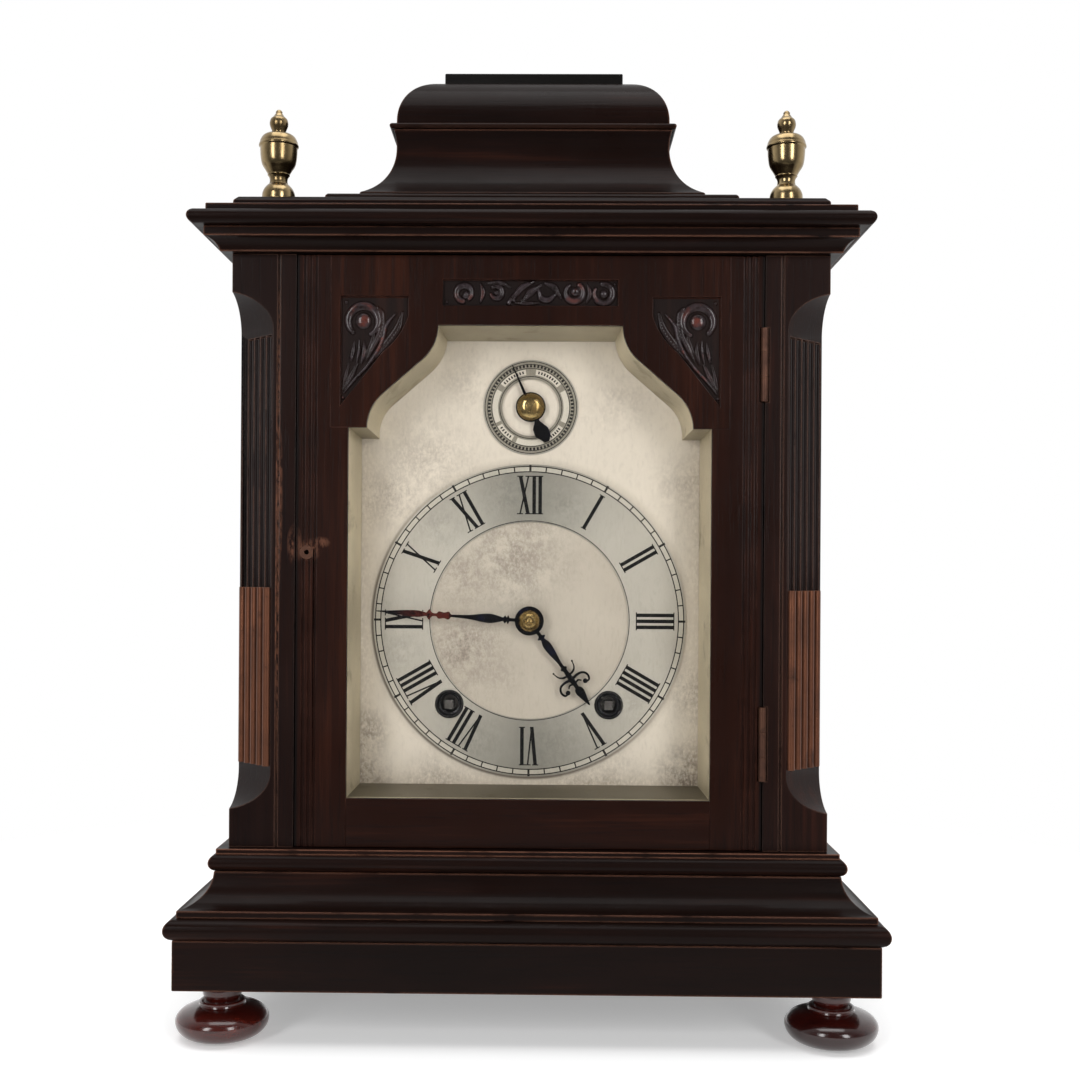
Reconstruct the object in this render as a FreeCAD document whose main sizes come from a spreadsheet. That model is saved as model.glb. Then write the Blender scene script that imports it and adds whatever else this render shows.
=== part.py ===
import FreeCAD, Part
import math
import os
from types import SimpleNamespace

import Sketcher
from FreeCAD import Placement, Rotation, Vector

# Bracket clock with a caddy top. Millimetres, +Z up, the dial faces -Y.
# The origin is the bottom centre of the whole clock: the feet stand on z = 0.

doc = FreeCAD.newDocument("bracket_clock")
sheet = doc.addObject("Spreadsheet::Sheet", "Sizes")

# ---------------------------------------------------------------- driving sizes

driving_sizes = {
    # case body
    "case_width": 248.5, "case_depth": 158.4, "case_height": 247.0, "side_thickness": 10.0,
    # turned bun feet
    "foot_height": 23.3, "foot_radius": 19.1, "foot_pad": 9.0, "bun_thickness": 13.9,
    "foot_disc": 9.4, "foot_disc_height": 1.6, "foot_neck": 6.9, "foot_spool": 8.0,
    "foot_inset": 16.8, "foot_back_inset": 20.5,
    # base mouldings: height of each member and how far it stands out from the case
    "plinth_height": 20.4, "plinth_overhang": 18.5, "torus_height": 8.7, "torus_overhang": 21.6,
    "fillet_height": 3.0, "fillet_overhang": 17.2, "cavetto_height": 13.5, "cavetto_foot": 16.0,
    "cavetto_head": 5.0, "cavetto_radius": 14.0, "ledge_torus_height": 7.1, "ledge_overhang": 7.0,
    "ledge_fillet_height": 2.0, "rim_overhang": 4.3,
    # cornice, platform and caddy
    "cove_height": 5.4, "cove_radius": 6.6, "fascia_height": 3.9, "fascia_overhang": 9.8,
    "nosing_height": 6.0, "nosing_overhang": 15.5, "nosing_radius": 3.0, "upper_board_height": 3.5,
    "upper_board_overhang": 9.2, "platform_height": 5.6, "platform_bevel": 1.9,
    "caddy_board_height": 5.4, "caddy_board_half": 88.4, "caddy_board_inset": 15.0, "caddy_board_bevel": 1.0,
    "caddy_ledge": 13.0, "caddy_step": 4.1, "caddy_sweep_height": 31.9, "caddy_sweep_in": 13.2,
    "caddy_sweep_radius": 26.9, "caddy_bead_height": 2.4, "caddy_bead_overhang": 1.7,
    "caddy_neck_height": 1.6, "ovolo_height": 22.2, "ovolo_in": 15.5, "ovolo_radius": 23.7,
    "cap_height": 6.5, "cap_margin": 4.5, "top_inset": 1.2,
    # urn finials
    "finial_inset": 15.9, "finial_height": 41.2, "finial_foot": 7.6, "finial_stem": 4.0,
    "finial_bowl": 8.9, "finial_bud": 4.2, "finial_neck": 3.0,
    # canted, fluted corner posts with brass reeds in the foot of the flutes
    "post_width": 26.95, "post_depth": 26.4, "cant_leg": 17.2, "stop_block": 16.0,
    "scoop_height": 15.1, "scoop_radius": 15.5, "flute_margin": 2.5, "flute_radius": 1.9, "flute_pitch": 4.55,
    "flute_count": 5, "reed_clearance": 0.05, "reed_height": 74.5, "quirk_width": 1.0,
    "quirk_depth": 1.2, "quirk_inset": 6.8,
    # glazed front door
    "door_gap": 0.35, "door_thickness": 16.0, "door_lip": 2.6, "glass_thickness": 2.0, "rebate": 4.0,
    "opening_half": 75.6, "bottom_rail_height": 20.25, "head_rail_height": 28.85, "arch_rise": 42.8,
    "neck_half": 67.9, "crown_half": 38.4, "ogee_share": 0.44, "edge_bevel": 1.3, "reeding_width": 1.1,
    "reeding_pitch": 2.4, "reeding_depth": 0.8, "reeding_inset": 2.6, "reeding_count": 3,
    "rail_half": 83.0,
    # sunk fields for the carving, placed from the shaped opening
    "spandrel_out": 3.4, "spandrel_drop": 16.9, "spandrel_in": 12.4, "spandrel_rise": 3.7,
    "spandrel_knee_out": 22.9, "spandrel_knee_drop": 11.3, "spandrel_radius": 30.0, "spandrel_toe": 9.0,
    "tablet_inset": 1.9, "tablet_rise": 8.0, "tablet_height": 10.8, "carving_depth": 1.6,
    # sight slip between glass and dial
    "slip_wall": 1.2, "slip_splay": 1.9, "slip_flange": 1.2, "slip_gap": 0.6, "fit_gap": 0.3,
    # hinges of the front door
    "hinge_barrel": 1.7, "hinge_length": 30.5, "hinge_upper": 279.6, "hinge_lower": 122.5,
    "leaf_thickness": 0.9, "leaf_depth": 11.0, "knuckle_gap": 0.15, "pin_radius": 0.8, "pin_clearance": 0.04,
    # lock in the left stile
    "lock_height": 200.9, "lock_long": 34.0, "lock_wide": 12.0, "lock_thick": 6.0, "bush_offset": 4.4,
    "bush_radius": 2.9, "keyhole_radius": 1.0, "bush_depth": 4.0, "bolt_long": 12.0, "bolt_thick": 2.4,
    "bolt_high": 7.0, "bolt_travel": 3.6, "slide_gap": 0.1,
    # dial
    "dial_depth": 30.0, "dial_thickness": 1.5, "dial_half": 88.0, "dial_bottom": 88.0, "dial_top": 312.0,
    "dial_centre": 172.1, "ring_radius": 68.2, "ring_inner": 43.0, "ring_thickness": 0.8,
    "small_dial_centre": 265.1, "small_dial_radius": 20.8, "small_dial_inner": 13.6,
    "winding_spread": 34.8, "winding_drop": 36.7, "winding_hole": 6.25, "winding_bush": 4.6,
    "winding_bush_proud": 1.2, "batten_inner": 80.0, "batten_thickness": 12.0,
    # hands
    "hand_thickness": 0.8, "hub_radius": 6.3, "minute_reach": 66.7, "minute_angle": 273.4,
    "hour_reach": 45.2, "hour_angle": 144.0, "hour_hand_gap": 2.3, "minute_hand_gap": 5.0,
    "hub_nut_radius": 4.6, "hub_nut_height": 3.9, "small_hand_reach": 20.0, "small_hand_tail": 16.0,
    "small_hand_angle": 336.0, "small_boss_radius": 5.9, "small_boss_height": 3.4, "small_hand_gap": 1.2,
    # movement
    "plate_half": 56.0, "plate_thickness": 2.5, "plate_top": 242.0, "plate_front": 18.4, "plate_span": 35.0,
    "pillar_radius": 4.0, "pillar_inset": 8.0, "seat_thickness": 10.0, "arbor_radius": 2.0,
    "cannon_radius": 3.0, "hour_pipe_radius": 4.2, "dial_hole": 5.2, "run_clearance": 0.05,
    "motion_distance": 18.0, "cannon_leaves": 12, "minute_wheel_teeth": 36, "minute_leaves": 10,
    "hour_wheel_teeth": 40, "motion_wheel_thickness": 1.5, "great_teeth": 72, "centre_leaves": 12,
    "wheel_thickness": 2.0, "pinion_length": 5.0, "barrel_radius": 23.5, "barrel_length": 20.0, "barrel_arbor": 3.2,
    "winding_square": 3.8, "square_length": 9.0, "winding_proud": 1.0, "ratchet_teeth": 20,
    "ratchet_radius": 12.0, "centre_teeth": 72, "third_leaves": 8, "third_distance": 24.0,
    "third_turn": 120.0, "third_teeth": 64, "escape_leaves": 8, "escape_teeth": 30, "escape_radius": 13.0,
    "pallet_rise": 19.0, "pallet_reach": 9.0, "pallet_width": 2.4, "pallet_clearance": 1.2,
    "pendulum_length": 112.0, "pendulum_offset": 8.0, "pendulum_rod": 1.4, "bob_radius": 15.0, "bob_thickness": 7.0, "cock_reach": 15.0, "cock_width": 12.0,
    # strike
    "gong_wire_wide": 1.8, "gong_wire_high": 3.0, "gong_inner": 15.0, "gong_pitch": 6.4, "gong_half_turns": 7,
    "gong_plane": 60.0, "gong_height": 160.0, "gong_boss": 8.0, "stand_width": 12.0, "stand_thickness": 5.0,
    "hammer_spread": 41.5, "hammer_height": 214.0, "hammer_length": 42.0, "hammer_head": 4.0, "hammer_head_long": 9.0,
    "hammer_arbor": 1.6,
    # back
    "rail_height": 30.0, "back_recess": 6.0, "back_thickness": 8.0, "back_gap": 0.5,
    "back_barrel": 1.8, "back_hinge_length": 40.0, "back_hinge_upper": 262.0, "back_hinge_lower": 141.0,
    "knob_radius": 5.0, "knob_height": 4.6, "button_long": 26.0, "button_wide": 8.0, "button_thick": 3.0,
    "button_pin": 1.5, "button_pin_long": 5.0, "knob_inset": 14.0,
}

for row, (alias, value) in enumerate(driving_sizes.items(), start=1):
    sheet.set(f"A{row}", alias)
    sheet.set(f"B{row}", str(value))
    sheet.setAlias(f"B{row}", alias)
doc.recompute()


class Size:
    """A length, count or angle: its number, and the sheet formula that it follows."""

    def __init__(self, number, formula):
        self.number = float(number)
        self.formula = formula

    def __add__(self, other):
        other = as_size(other)
        return Size(self.number + other.number, f"({self.formula} + {other.formula})")

    def __sub__(self, other):
        other = as_size(other)
        return Size(self.number - other.number, f"({self.formula} - {other.formula})")

    def __mul__(self, other):
        other = as_size(other)
        return Size(self.number * other.number, f"({self.formula} * {other.formula})")

    def __truediv__(self, other):
        other = as_size(other)
        return Size(self.number / other.number, f"({self.formula} / {other.formula})")

    def __radd__(self, other):
        return as_size(other) + self

    def __rsub__(self, other):
        return as_size(other) - self

    def __rmul__(self, other):
        return as_size(other) * self

    def __neg__(self):
        return as_size(0) - self


def as_size(value):
    if isinstance(value, Size):
        return value
    return Size(value, f"({value})" if value < 0 else str(value))


def root(value):
    return Size(math.sqrt(value.number), f"sqrt({value.formula})")


def cosine(angle):
    return Size(math.cos(math.radians(angle.number)), f"cos({angle.formula})")


def sine(angle):
    return Size(math.sin(math.radians(angle.number)), f"sin({angle.formula})")


def bearing(rise, run):
    angle = math.degrees(math.atan2(rise.number, run.number))
    return Size(angle, f"atan2({rise.formula}; {run.formula})")


def arc_cosine(ratio):
    return Size(math.degrees(math.acos(ratio.number)), f"acos({ratio.formula})")


dim = SimpleNamespace(**{alias: Size(value, f"Sizes.{alias}") for alias, value in driving_sizes.items()})

# ---------------------------------------------------------------- places worked out from the sizes

half_width = dim.case_width / 2
front = dim.torus_overhang - (dim.case_depth + dim.torus_overhang) / 2
back = (dim.case_depth + dim.torus_overhang) / 2

torus_z = dim.foot_height + dim.plinth_height
fillet_z = torus_z + dim.torus_height
cavetto_z = fillet_z + dim.fillet_height
ledge_z = cavetto_z + dim.cavetto_height
ledge_fillet_z = ledge_z + dim.ledge_torus_height
case_z = ledge_fillet_z + dim.ledge_fillet_height
cornice_z = case_z + dim.case_height
fascia_z = cornice_z + dim.cove_height
nosing_z = fascia_z + dim.fascia_height
upper_board_z = nosing_z + dim.nosing_height
platform_z = upper_board_z + dim.upper_board_height
caddy_board_z = platform_z + dim.platform_height
caddy_z = caddy_board_z + dim.caddy_board_height
sweep_z = caddy_z + dim.caddy_step
caddy_top_z = sweep_z + dim.caddy_sweep_height
ovolo_z = caddy_top_z + dim.caddy_bead_height + dim.caddy_neck_height
cap_z = ovolo_z + dim.ovolo_height

inner_side = half_width - dim.side_thickness
post_inner = half_width - dim.post_width
door_half = post_inner - dim.door_gap
door_bottom = case_z + dim.door_gap
door_top = cornice_z - dim.door_gap
door_back = front + dim.door_thickness
opening_bottom = door_bottom + dim.bottom_rail_height
opening_top = door_top - dim.head_rail_height
opening_shoulder = opening_top - dim.arch_rise
glass_front = front + dim.door_lip
glass_back = glass_front + dim.glass_thickness
hinge_x = post_inner - dim.door_gap / 2
dial_front = front + dim.dial_depth
dial_back = dial_front + dim.dial_thickness
ring_front = dial_front - dim.ring_thickness
plate_front_y = -dim.plate_front - dim.plate_thickness
plate_inside_front = -dim.plate_front
plate_inside_back = plate_inside_front + dim.plate_span
plate_back_y = plate_inside_back + dim.plate_thickness
seat_z = case_z + dim.seat_thickness
winding_z = dim.dial_centre - dim.winding_drop
back_face = back - dim.back_recess
back_inside = back_face - dim.back_thickness
back_half = inner_side - dim.back_gap
back_hinge_x = inner_side - dim.back_gap / 2
lower_rail_z = case_z + dim.rail_height
upper_rail_z = cornice_z - dim.rail_height

nodes = []

# ---------------------------------------------------------------- making pieces


def keep(piece, label):
    """Name a finished sub-part, which becomes its file."""
    piece.Label = label
    nodes.append(piece)
    return piece


def bind(item, **formulas):
    for name, size in formulas.items():
        item.setExpression(name.replace("__", "."), as_size(size).formula)


def place(item, x=0, y=0, z=0):
    bind(item, Placement__Base__x=x, Placement__Base__y=y, Placement__Base__z=z)


def arc_between(start, end, radius, turn):
    """The short arc from start to end, with its centre to the left for turn 1, to the right for -1."""
    middle = (start + end) / 2
    chord = end - start
    height = math.sqrt(max(radius * radius - chord.Length * chord.Length / 4, 0))
    normal = Vector(-chord.y, chord.x, 0).normalize()
    centre = middle + normal * height * turn
    first, last = (start, end) if turn > 0 else (end, start)
    angle_a = math.atan2(first.y - centre.y, first.x - centre.x)
    angle_b = math.atan2(last.y - centre.y, last.x - centre.x)
    return Part.ArcOfCircle(Part.Circle(centre, Vector(0, 0, 1), radius), angle_a, angle_b)


def draw(sketch, *loops):
    """Draw closed loops of (x, y) points. (x, y, radius, turn) bends the edge that ends at that point."""
    for loop in loops:
        points = [Vector(as_size(p[0]).number, as_size(p[1]).number, 0) for p in loop]
        first = sketch.GeometryCount
        ends = []
        edges = []
        for index, point in enumerate(loop):
            start, end = points[index - 1], points[index]
            if len(point) > 2:
                edges.append(arc_between(start, end, as_size(point[2]).number, point[3]))
                ends.append((1, 2) if point[3] > 0 else (2, 1))
            else:
                edges.append(Part.LineSegment(start, end))
                ends.append((1, 2))
        sketch.addGeometry(edges, False)
        rules = []
        formulas = []
        for index, point in enumerate(loop):
            edge, after = first + index, first + (index + 1) % len(loop)
            end, start = ends[index][1], ends[(index + 1) % len(loop)][0]
            rules.append(Sketcher.Constraint("Coincident", edge, end, after, start))
            formulas.append(None)
            for kind, size in (("DistanceX", point[0]), ("DistanceY", point[1])):
                rules.append(Sketcher.Constraint(kind, -1, 1, edge, end, as_size(size).number))
                formulas.append(as_size(size).formula)
            if len(point) > 2:
                rules.append(Sketcher.Constraint("Radius", edge, as_size(point[2]).number))
                formulas.append(as_size(point[2]).formula)
        added = sketch.addConstraint(rules)
        for number, formula in zip(added, formulas):
            if formula:
                sketch.setExpression(f"Constraints[{number}]", formula)


def draw_circle(sketch, x, y, radius):
    centre = Vector(as_size(x).number, as_size(y).number, 0)
    edge = sketch.addGeometry(Part.Circle(centre, Vector(0, 0, 1), radius.number), False)
    rules = (("DistanceX", x), ("DistanceY", y))
    for kind, size in rules:
        number = sketch.addConstraint(Sketcher.Constraint(kind, -1, 1, edge, 3, as_size(size).number))
        sketch.setExpression(f"Constraints[{number}]", as_size(size).formula)
    number = sketch.addConstraint(Sketcher.Constraint("Radius", edge, radius.number))
    sketch.setExpression(f"Constraints[{number}]", radius.formula)


def mirror_loop(points):
    """Continue a right-hand outline with its mirror image; it may start on the axis."""
    on_axis = as_size(points[0][0]).number == 0
    left = []
    for index in range(len(points) - 1, 0 if on_axis else -1, -1):
        bend = points[index + 1][2:] if index + 1 < len(points) else ()
        left.append((-as_size(points[index][0]), points[index][1]) + tuple(bend))
    if on_axis:
        points = [tuple(points[0][:2]) + tuple(points[1][2:])] + points[1:]
    return points + left


def body_sketch(body, plane, offset, name):
    """A sketch on one of the body's own planes, moved along its normal by offset."""
    sketch = body.newObject("Sketcher::SketchObject", name)
    for feature in body.Origin.OriginFeatures:
        if feature.Role == plane:
            sketch.AttachmentSupport = [(feature, "")]
    sketch.MapMode = "FlatFace"
    bind(sketch, AttachmentOffset__Base__z=offset)
    return sketch


def front_plate(name, y_back, thickness, loops, circles=()):
    """A flat piece seen from the front: loops of x and z, from y_back forward by thickness."""
    body = doc.addObject("PartDesign::Body", name)
    sketch = body_sketch(body, "XZ_Plane", -as_size(y_back), name + "_face")
    draw(sketch, *loops)
    for circle in circles:
        draw_circle(sketch, *circle)
    pad = body.newObject("PartDesign::Pad", name + "_pad")
    pad.Profile = sketch
    bind(pad, Length=thickness)
    return body


def pocket(body, name, loops, y_from, depth, circles=(), backward=True):
    """Cut loops into a piece from the plane y_from, backward into +Y or forward into -Y."""
    sketch = body_sketch(body, "XZ_Plane", -as_size(y_from), name + "_face")
    draw(sketch, *loops)
    for circle in circles:
        draw_circle(sketch, *circle)
    cut = body.newObject("PartDesign::Pocket", name)
    cut.Profile = sketch
    cut.Reversed = not backward
    bind(cut, Length=depth)
    return cut


def turned(name, outline):
    """A turned piece: the outline of radius and height goes round its own Z axis."""
    body = doc.addObject("PartDesign::Body", name)
    sketch = body_sketch(body, "XZ_Plane", 0, name + "_outline")
    draw(sketch, outline)
    revolve = body.newObject("PartDesign::Revolution", name + "_turning")
    revolve.Profile = sketch
    revolve.ReferenceAxis = (sketch, ["V_Axis"])
    revolve.Angle = 360.0
    return body


def face_front(body, x, y, z):
    """Stand a turned piece on its axis so that its own Z points to the front."""
    body.Placement = Placement(Vector(0, 0, 0), Rotation(Vector(1, 0, 0), 90))
    place(body, x, y, z)
    return body


def box(name, x0, x1, y0, y1, z0, z1):
    item = doc.addObject("Part::Box", name)
    bind(item, Length=as_size(x1) - x0, Width=as_size(y1) - y0, Height=as_size(z1) - z0)
    place(item, x0, y0, z0)
    return item


def rod(name, radius, x, y0, y1, z):
    """A round bar along Y from y0 to y1."""
    item = doc.addObject("Part::Cylinder", name)
    item.Placement = Placement(Vector(0, 0, 0), Rotation(Vector(1, 0, 0), -90))
    bind(item, Radius=radius, Height=as_size(y1) - y0)
    place(item, x, y0, z)
    return item


def upright(name, radius, x, y, z0, z1):
    """A round bar along Z from z0 to z1."""
    item = doc.addObject("Part::Cylinder", name)
    bind(item, Radius=radius, Height=as_size(z1) - z0)
    place(item, x, y, z0)
    return item


def cut(name, base, tools):
    item = doc.addObject("Part::Cut", name)
    item.Base = base
    item.Tool = tools[0] if len(tools) == 1 else fuse(name + "_tools", tools)
    return item


def fuse(name, pieces):
    item = doc.addObject("Part::MultiFuse", name)
    item.Shapes = pieces
    return item


def group(name, pieces):
    item = doc.addObject("Part::Compound", name)
    item.Links = pieces
    return item


def mirror(name, source):
    """The same piece on the other side of the clock."""
    item = doc.addObject("Part::Mirroring", name)
    item.Source = source
    item.Base = Vector(0, 0, 0)
    item.Normal = Vector(1, 0, 0)
    return item


def extrusion(name, rotation, loop, length, x=0, y=0, z=0):
    """A loop drawn on a plane of its own and drawn out along that plane's normal."""
    sketch = doc.addObject("Sketcher::SketchObject", name + "_outline")
    sketch.Placement = Placement(Vector(0, 0, 0), rotation)
    place(sketch, x, y, z)
    draw(sketch, loop)
    solid = doc.addObject("Part::Extrusion", name)
    solid.Base = sketch
    solid.DirMode = "Normal"
    solid.Solid = True
    bind(solid, LengthFwd=length)
    return solid


facing_front = Rotation(Vector(1, 0, 0), 90)
facing_side = Rotation(Vector(1, 1, 1), 120)


def moulded(label, half, front_line, edge, reach):
    """A board whose moulding runs along the front and both sides, mitred at the corners.

    edge lists (stand-out, height) points from the bottom up, counted from half and front_line.
    """
    right = [(half + point[0], point[1]) + tuple(point[2:]) for point in edge]
    across = extrusion(label + "_across", facing_front, mirror_loop(right), back - front_line + reach, y=back)
    side = [(back, edge[-1][1]), (back, edge[0][1])]
    side += [(front_line - point[0], point[1]) + flip(point[2:]) for point in edge]
    along = extrusion(label + "_along", facing_side, side, (half + reach) * 2, x=-(half + reach))
    board = doc.addObject("Part::MultiCommon", label)
    board.Shapes = [across, along]
    return keep(board, label)


def flip(bend):
    return (bend[0], -bend[1]) if bend else ()


# ---------------------------------------------------------------- feet and base

# turned bun with a disc and a small spool above it
disc_top = dim.bun_thickness + dim.foot_disc_height
foot_outline = [
    (0, 0),
    (dim.foot_pad, 0),
    (dim.foot_radius * 0.87, dim.bun_thickness * 0.2),
    (dim.foot_radius, dim.bun_thickness * 0.44),
    (dim.foot_radius, dim.bun_thickness * 0.58),
    (dim.foot_radius * 0.86, dim.bun_thickness * 0.82),
    (dim.foot_disc, dim.bun_thickness),
    (dim.foot_disc, disc_top),
    (dim.foot_neck, disc_top),
    (dim.foot_spool, (disc_top + dim.foot_height) / 2),
    (dim.foot_neck, dim.foot_height),
    (0, dim.foot_height),
]
foot_x = half_width + dim.plinth_overhang - dim.foot_inset
foot_front_y = front - dim.plinth_overhang + dim.foot_inset
foot_back_y = back - dim.foot_back_inset
feet = []
foot_places = [(-1, foot_front_y), (1, foot_front_y), (-1, foot_back_y), (1, foot_back_y)]
for index, (foot_side, foot_y) in enumerate(foot_places):
    foot = turned(f"foot_{index}", foot_outline)
    place(foot, foot_x * foot_side, foot_y, 0)
    feet.append(foot)
keep(group("feet", feet), "bun_feet")

moulded("plinth", half_width, front, [
    (dim.plinth_overhang, dim.foot_height),
    (dim.plinth_overhang, torus_z),
], dim.plinth_overhang)

torus_radius = dim.torus_height / 2
moulded("base_torus", half_width, front, [
    (dim.torus_overhang - torus_radius, torus_z),
    (dim.torus_overhang, torus_z + torus_radius, torus_radius, 1),
    (dim.torus_overhang - torus_radius, fillet_z, torus_radius, 1),
], dim.torus_overhang)

moulded("base_cavetto", half_width, front, [
    (dim.fillet_overhang, fillet_z),
    (dim.fillet_overhang, cavetto_z),
    (dim.cavetto_foot, cavetto_z),
    (dim.cavetto_head, ledge_z, dim.cavetto_radius, -1),
], dim.fillet_overhang)

ledge_radius = dim.ledge_torus_height / 2
moulded("base_ledge", half_width, front, [
    (dim.ledge_overhang - ledge_radius, ledge_z),
    (dim.ledge_overhang, ledge_z + ledge_radius, ledge_radius, 1),
    (dim.ledge_overhang - ledge_radius, ledge_fillet_z, ledge_radius, 1),
    (dim.rim_overhang, ledge_fillet_z),
    (dim.rim_overhang, case_z),
], dim.ledge_overhang)

# ---------------------------------------------------------------- cornice, platform and caddy

moulded("cornice_moulding", half_width, front, [
    (dim.rim_overhang, cornice_z),
    (dim.fascia_overhang, fascia_z, dim.cove_radius, -1),
    (dim.fascia_overhang, nosing_z),
], dim.fascia_overhang)

nose_root = dim.nosing_overhang - dim.nosing_radius
moulded("cornice_board", half_width, front, [
    (nose_root, nosing_z),
    (dim.nosing_overhang, nosing_z + dim.nosing_height / 2, dim.nosing_radius, 1),
    (nose_root, upper_board_z, dim.nosing_radius, 1),
    (dim.upper_board_overhang, upper_board_z),
    (dim.upper_board_overhang, platform_z),
], dim.nosing_overhang)

moulded("platform_board", half_width, front, [
    (0, platform_z),
    (0, caddy_board_z - dim.platform_bevel),
    (-dim.platform_bevel, caddy_board_z),
], 0)

caddy_front = front + dim.caddy_board_inset
moulded("caddy_board", dim.caddy_board_half, caddy_front, [
    (0, caddy_board_z),
    (0, caddy_z - dim.caddy_board_bevel),
    (-dim.caddy_board_bevel, caddy_z),
], 0)

sweep_foot = -dim.caddy_ledge
waist = sweep_foot - dim.caddy_sweep_in
moulded("caddy_body", dim.caddy_board_half, caddy_front, [
    (sweep_foot, caddy_z),
    (sweep_foot, sweep_z),
    (waist, caddy_top_z, dim.caddy_sweep_radius, -1),
], sweep_foot)

bead_radius = dim.caddy_bead_height / 2
neck = waist - dim.top_inset
moulded("caddy_top", dim.caddy_board_half, caddy_front, [
    (waist + dim.caddy_bead_overhang - bead_radius, caddy_top_z),
    (waist + dim.caddy_bead_overhang, caddy_top_z + bead_radius, bead_radius, 1),
    (waist + dim.caddy_bead_overhang - bead_radius, caddy_top_z + dim.caddy_bead_height, bead_radius, 1),
    (neck, caddy_top_z + dim.caddy_bead_height),
    (neck, ovolo_z),
    (neck - dim.ovolo_in, cap_z, dim.ovolo_radius, 1),
], waist + dim.caddy_bead_overhang)

cap_half = dim.caddy_board_half + neck - dim.ovolo_in - dim.cap_margin
cap_front = caddy_front - neck + dim.ovolo_in + dim.cap_margin
cap_back = back - dim.cap_margin
keep(box("cap", -cap_half, cap_half, cap_front, cap_back, cap_z, cap_z + dim.cap_height), "cap_plate")

# turned urns: foot, stem, bowl with a rolled lip, and a bud on top
urn_unit = dim.finial_height / 20
urn_outline = [
    (0, 0),
    (dim.finial_foot, 0),
    (dim.finial_foot, urn_unit * 1.3),
    (dim.finial_foot * 0.87, urn_unit * 3.2),
    (dim.finial_stem, urn_unit * 4.6),
    (dim.finial_stem, urn_unit * 5.6),
    (dim.finial_bowl * 0.73, urn_unit * 7.4),
    (dim.finial_bowl * 0.88, urn_unit * 9.0),
    (dim.finial_bowl * 0.94, urn_unit * 11.0),
    (dim.finial_bowl * 0.94, urn_unit * 12.1),
    (dim.finial_bowl, urn_unit * 12.4),
    (dim.finial_bowl, urn_unit * 12.8),
    (dim.finial_bowl * 0.78, urn_unit * 14.2),
    (dim.finial_neck, urn_unit * 14.9),
    (dim.finial_bud, urn_unit * 16.3),
    (dim.finial_bud * 0.95, urn_unit * 17.3),
    (dim.finial_bud * 0.5, urn_unit * 18.7),
    (0, dim.finial_height),
]
finial_x = half_width - dim.finial_inset
finial_y = front + dim.finial_inset
finials = []
for finial_side in (-1, 1):
    finial = turned(f"finial_{finial_side + 1}", urn_outline)
    place(finial, finial_x * finial_side, finial_y, caddy_board_z)
    finials.append(finial)
keep(group("finial_pair", finials), "finials")

# ---------------------------------------------------------------- case sides and canted posts

case_side = box("case_side", inner_side, half_width, front + dim.post_depth, back, case_z, cornice_z)
keep(mirror("case_side_mirrored", case_side), "case_side_left")
leaf_sink = dim.leaf_thickness + dim.fit_gap / 6
back_hinge_centres = (dim.back_hinge_lower, dim.back_hinge_upper)


def back_hinge_recesses(name, x0, x1):
    """Pockets for the back door's hinges in the side board or in the door's edge."""
    tools = []
    for index, centre in enumerate(back_hinge_centres):
        low = centre - dim.back_hinge_length / 2 - dim.fit_gap
        high = centre + dim.back_hinge_length / 2 + dim.fit_gap
        tools.append(upright(f"{name}_barrel_{index}", dim.back_barrel + dim.fit_gap, back_hinge_x, back_face, low, high))
        tools.append(box(f"{name}_leaf_{index}", x0, x1, back_face - dim.leaf_depth - dim.fit_gap, back_face, low, high))
    return tools


side_tools = back_hinge_recesses("side", inner_side, inner_side + leaf_sink)
keep(cut("case_side_cut", case_side, side_tools), "case_side_right")

# The cant is sunk below the square corner by cant_drop, along the diagonal.
cant_drop = dim.cant_leg / math.sqrt(2)
diagonal = Rotation(Vector(0, 0, 1), -45) * Rotation(Vector(1, 0, 0), 90)
lower_stop = case_z + dim.stop_block
upper_stop = cornice_z - dim.stop_block
lower_cant = lower_stop + dim.scoop_height
upper_cant = upper_stop - dim.scoop_height
flute_low = lower_cant + dim.flute_margin
flute_high = upper_cant - dim.flute_margin
cant_tool = extrusion("cant_tool", diagonal, [
    (dim.cant_leg, lower_stop),
    (dim.cant_leg, upper_stop),
    (0, upper_stop),
    (-cant_drop, upper_cant, dim.scoop_radius, 1),
    (-cant_drop, lower_cant),
    (0, lower_stop, dim.scoop_radius, 1),
], dim.cant_leg * 2)
reach_back = dim.cant_leg / math.sqrt(2)
place(cant_tool.Base, half_width + reach_back, front + reach_back, 0)

cant_x = half_width - dim.cant_leg / 2
cant_y = front + dim.cant_leg / 2
flute_step = dim.flute_pitch / math.sqrt(2)
post_tools = [cant_tool]
reeds = []
for index in range(int(dim.flute_count.number)):
    shift = flute_step * (index - (dim.flute_count - 1) / 2)
    post_tools.append(upright(f"flute_{index}", dim.flute_radius, cant_x + shift, cant_y + shift,
                              flute_low, flute_high))
    reeds.append(upright(f"reed_{index}", dim.flute_radius - dim.reed_clearance, cant_x + shift,
                         cant_y + shift, flute_low, flute_low + dim.reed_height))
quirk_x = post_inner + dim.quirk_inset
post_tools.append(box("quirk", quirk_x, quirk_x + dim.quirk_width, front, front + dim.quirk_depth, case_z, cornice_z))

# hinge leaves are let into the post and the door stile by their own thickness
hinge_y = front
hinge_centres = (dim.hinge_lower, dim.hinge_upper)


def hinge_recesses(name, x0, x1):
    tools = []
    for index, centre in enumerate(hinge_centres):
        low = centre - dim.hinge_length / 2 - dim.fit_gap / 2
        high = centre + dim.hinge_length / 2 + dim.fit_gap / 2
        tools.append(box(f"{name}_leaf_{index}", x0, x1, front, front + dim.leaf_depth + dim.fit_gap, low, high))
        tools.append(upright(f"{name}_barrel_{index}", dim.hinge_barrel + dim.fit_gap, hinge_x, hinge_y, low, high))
    return tools


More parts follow.
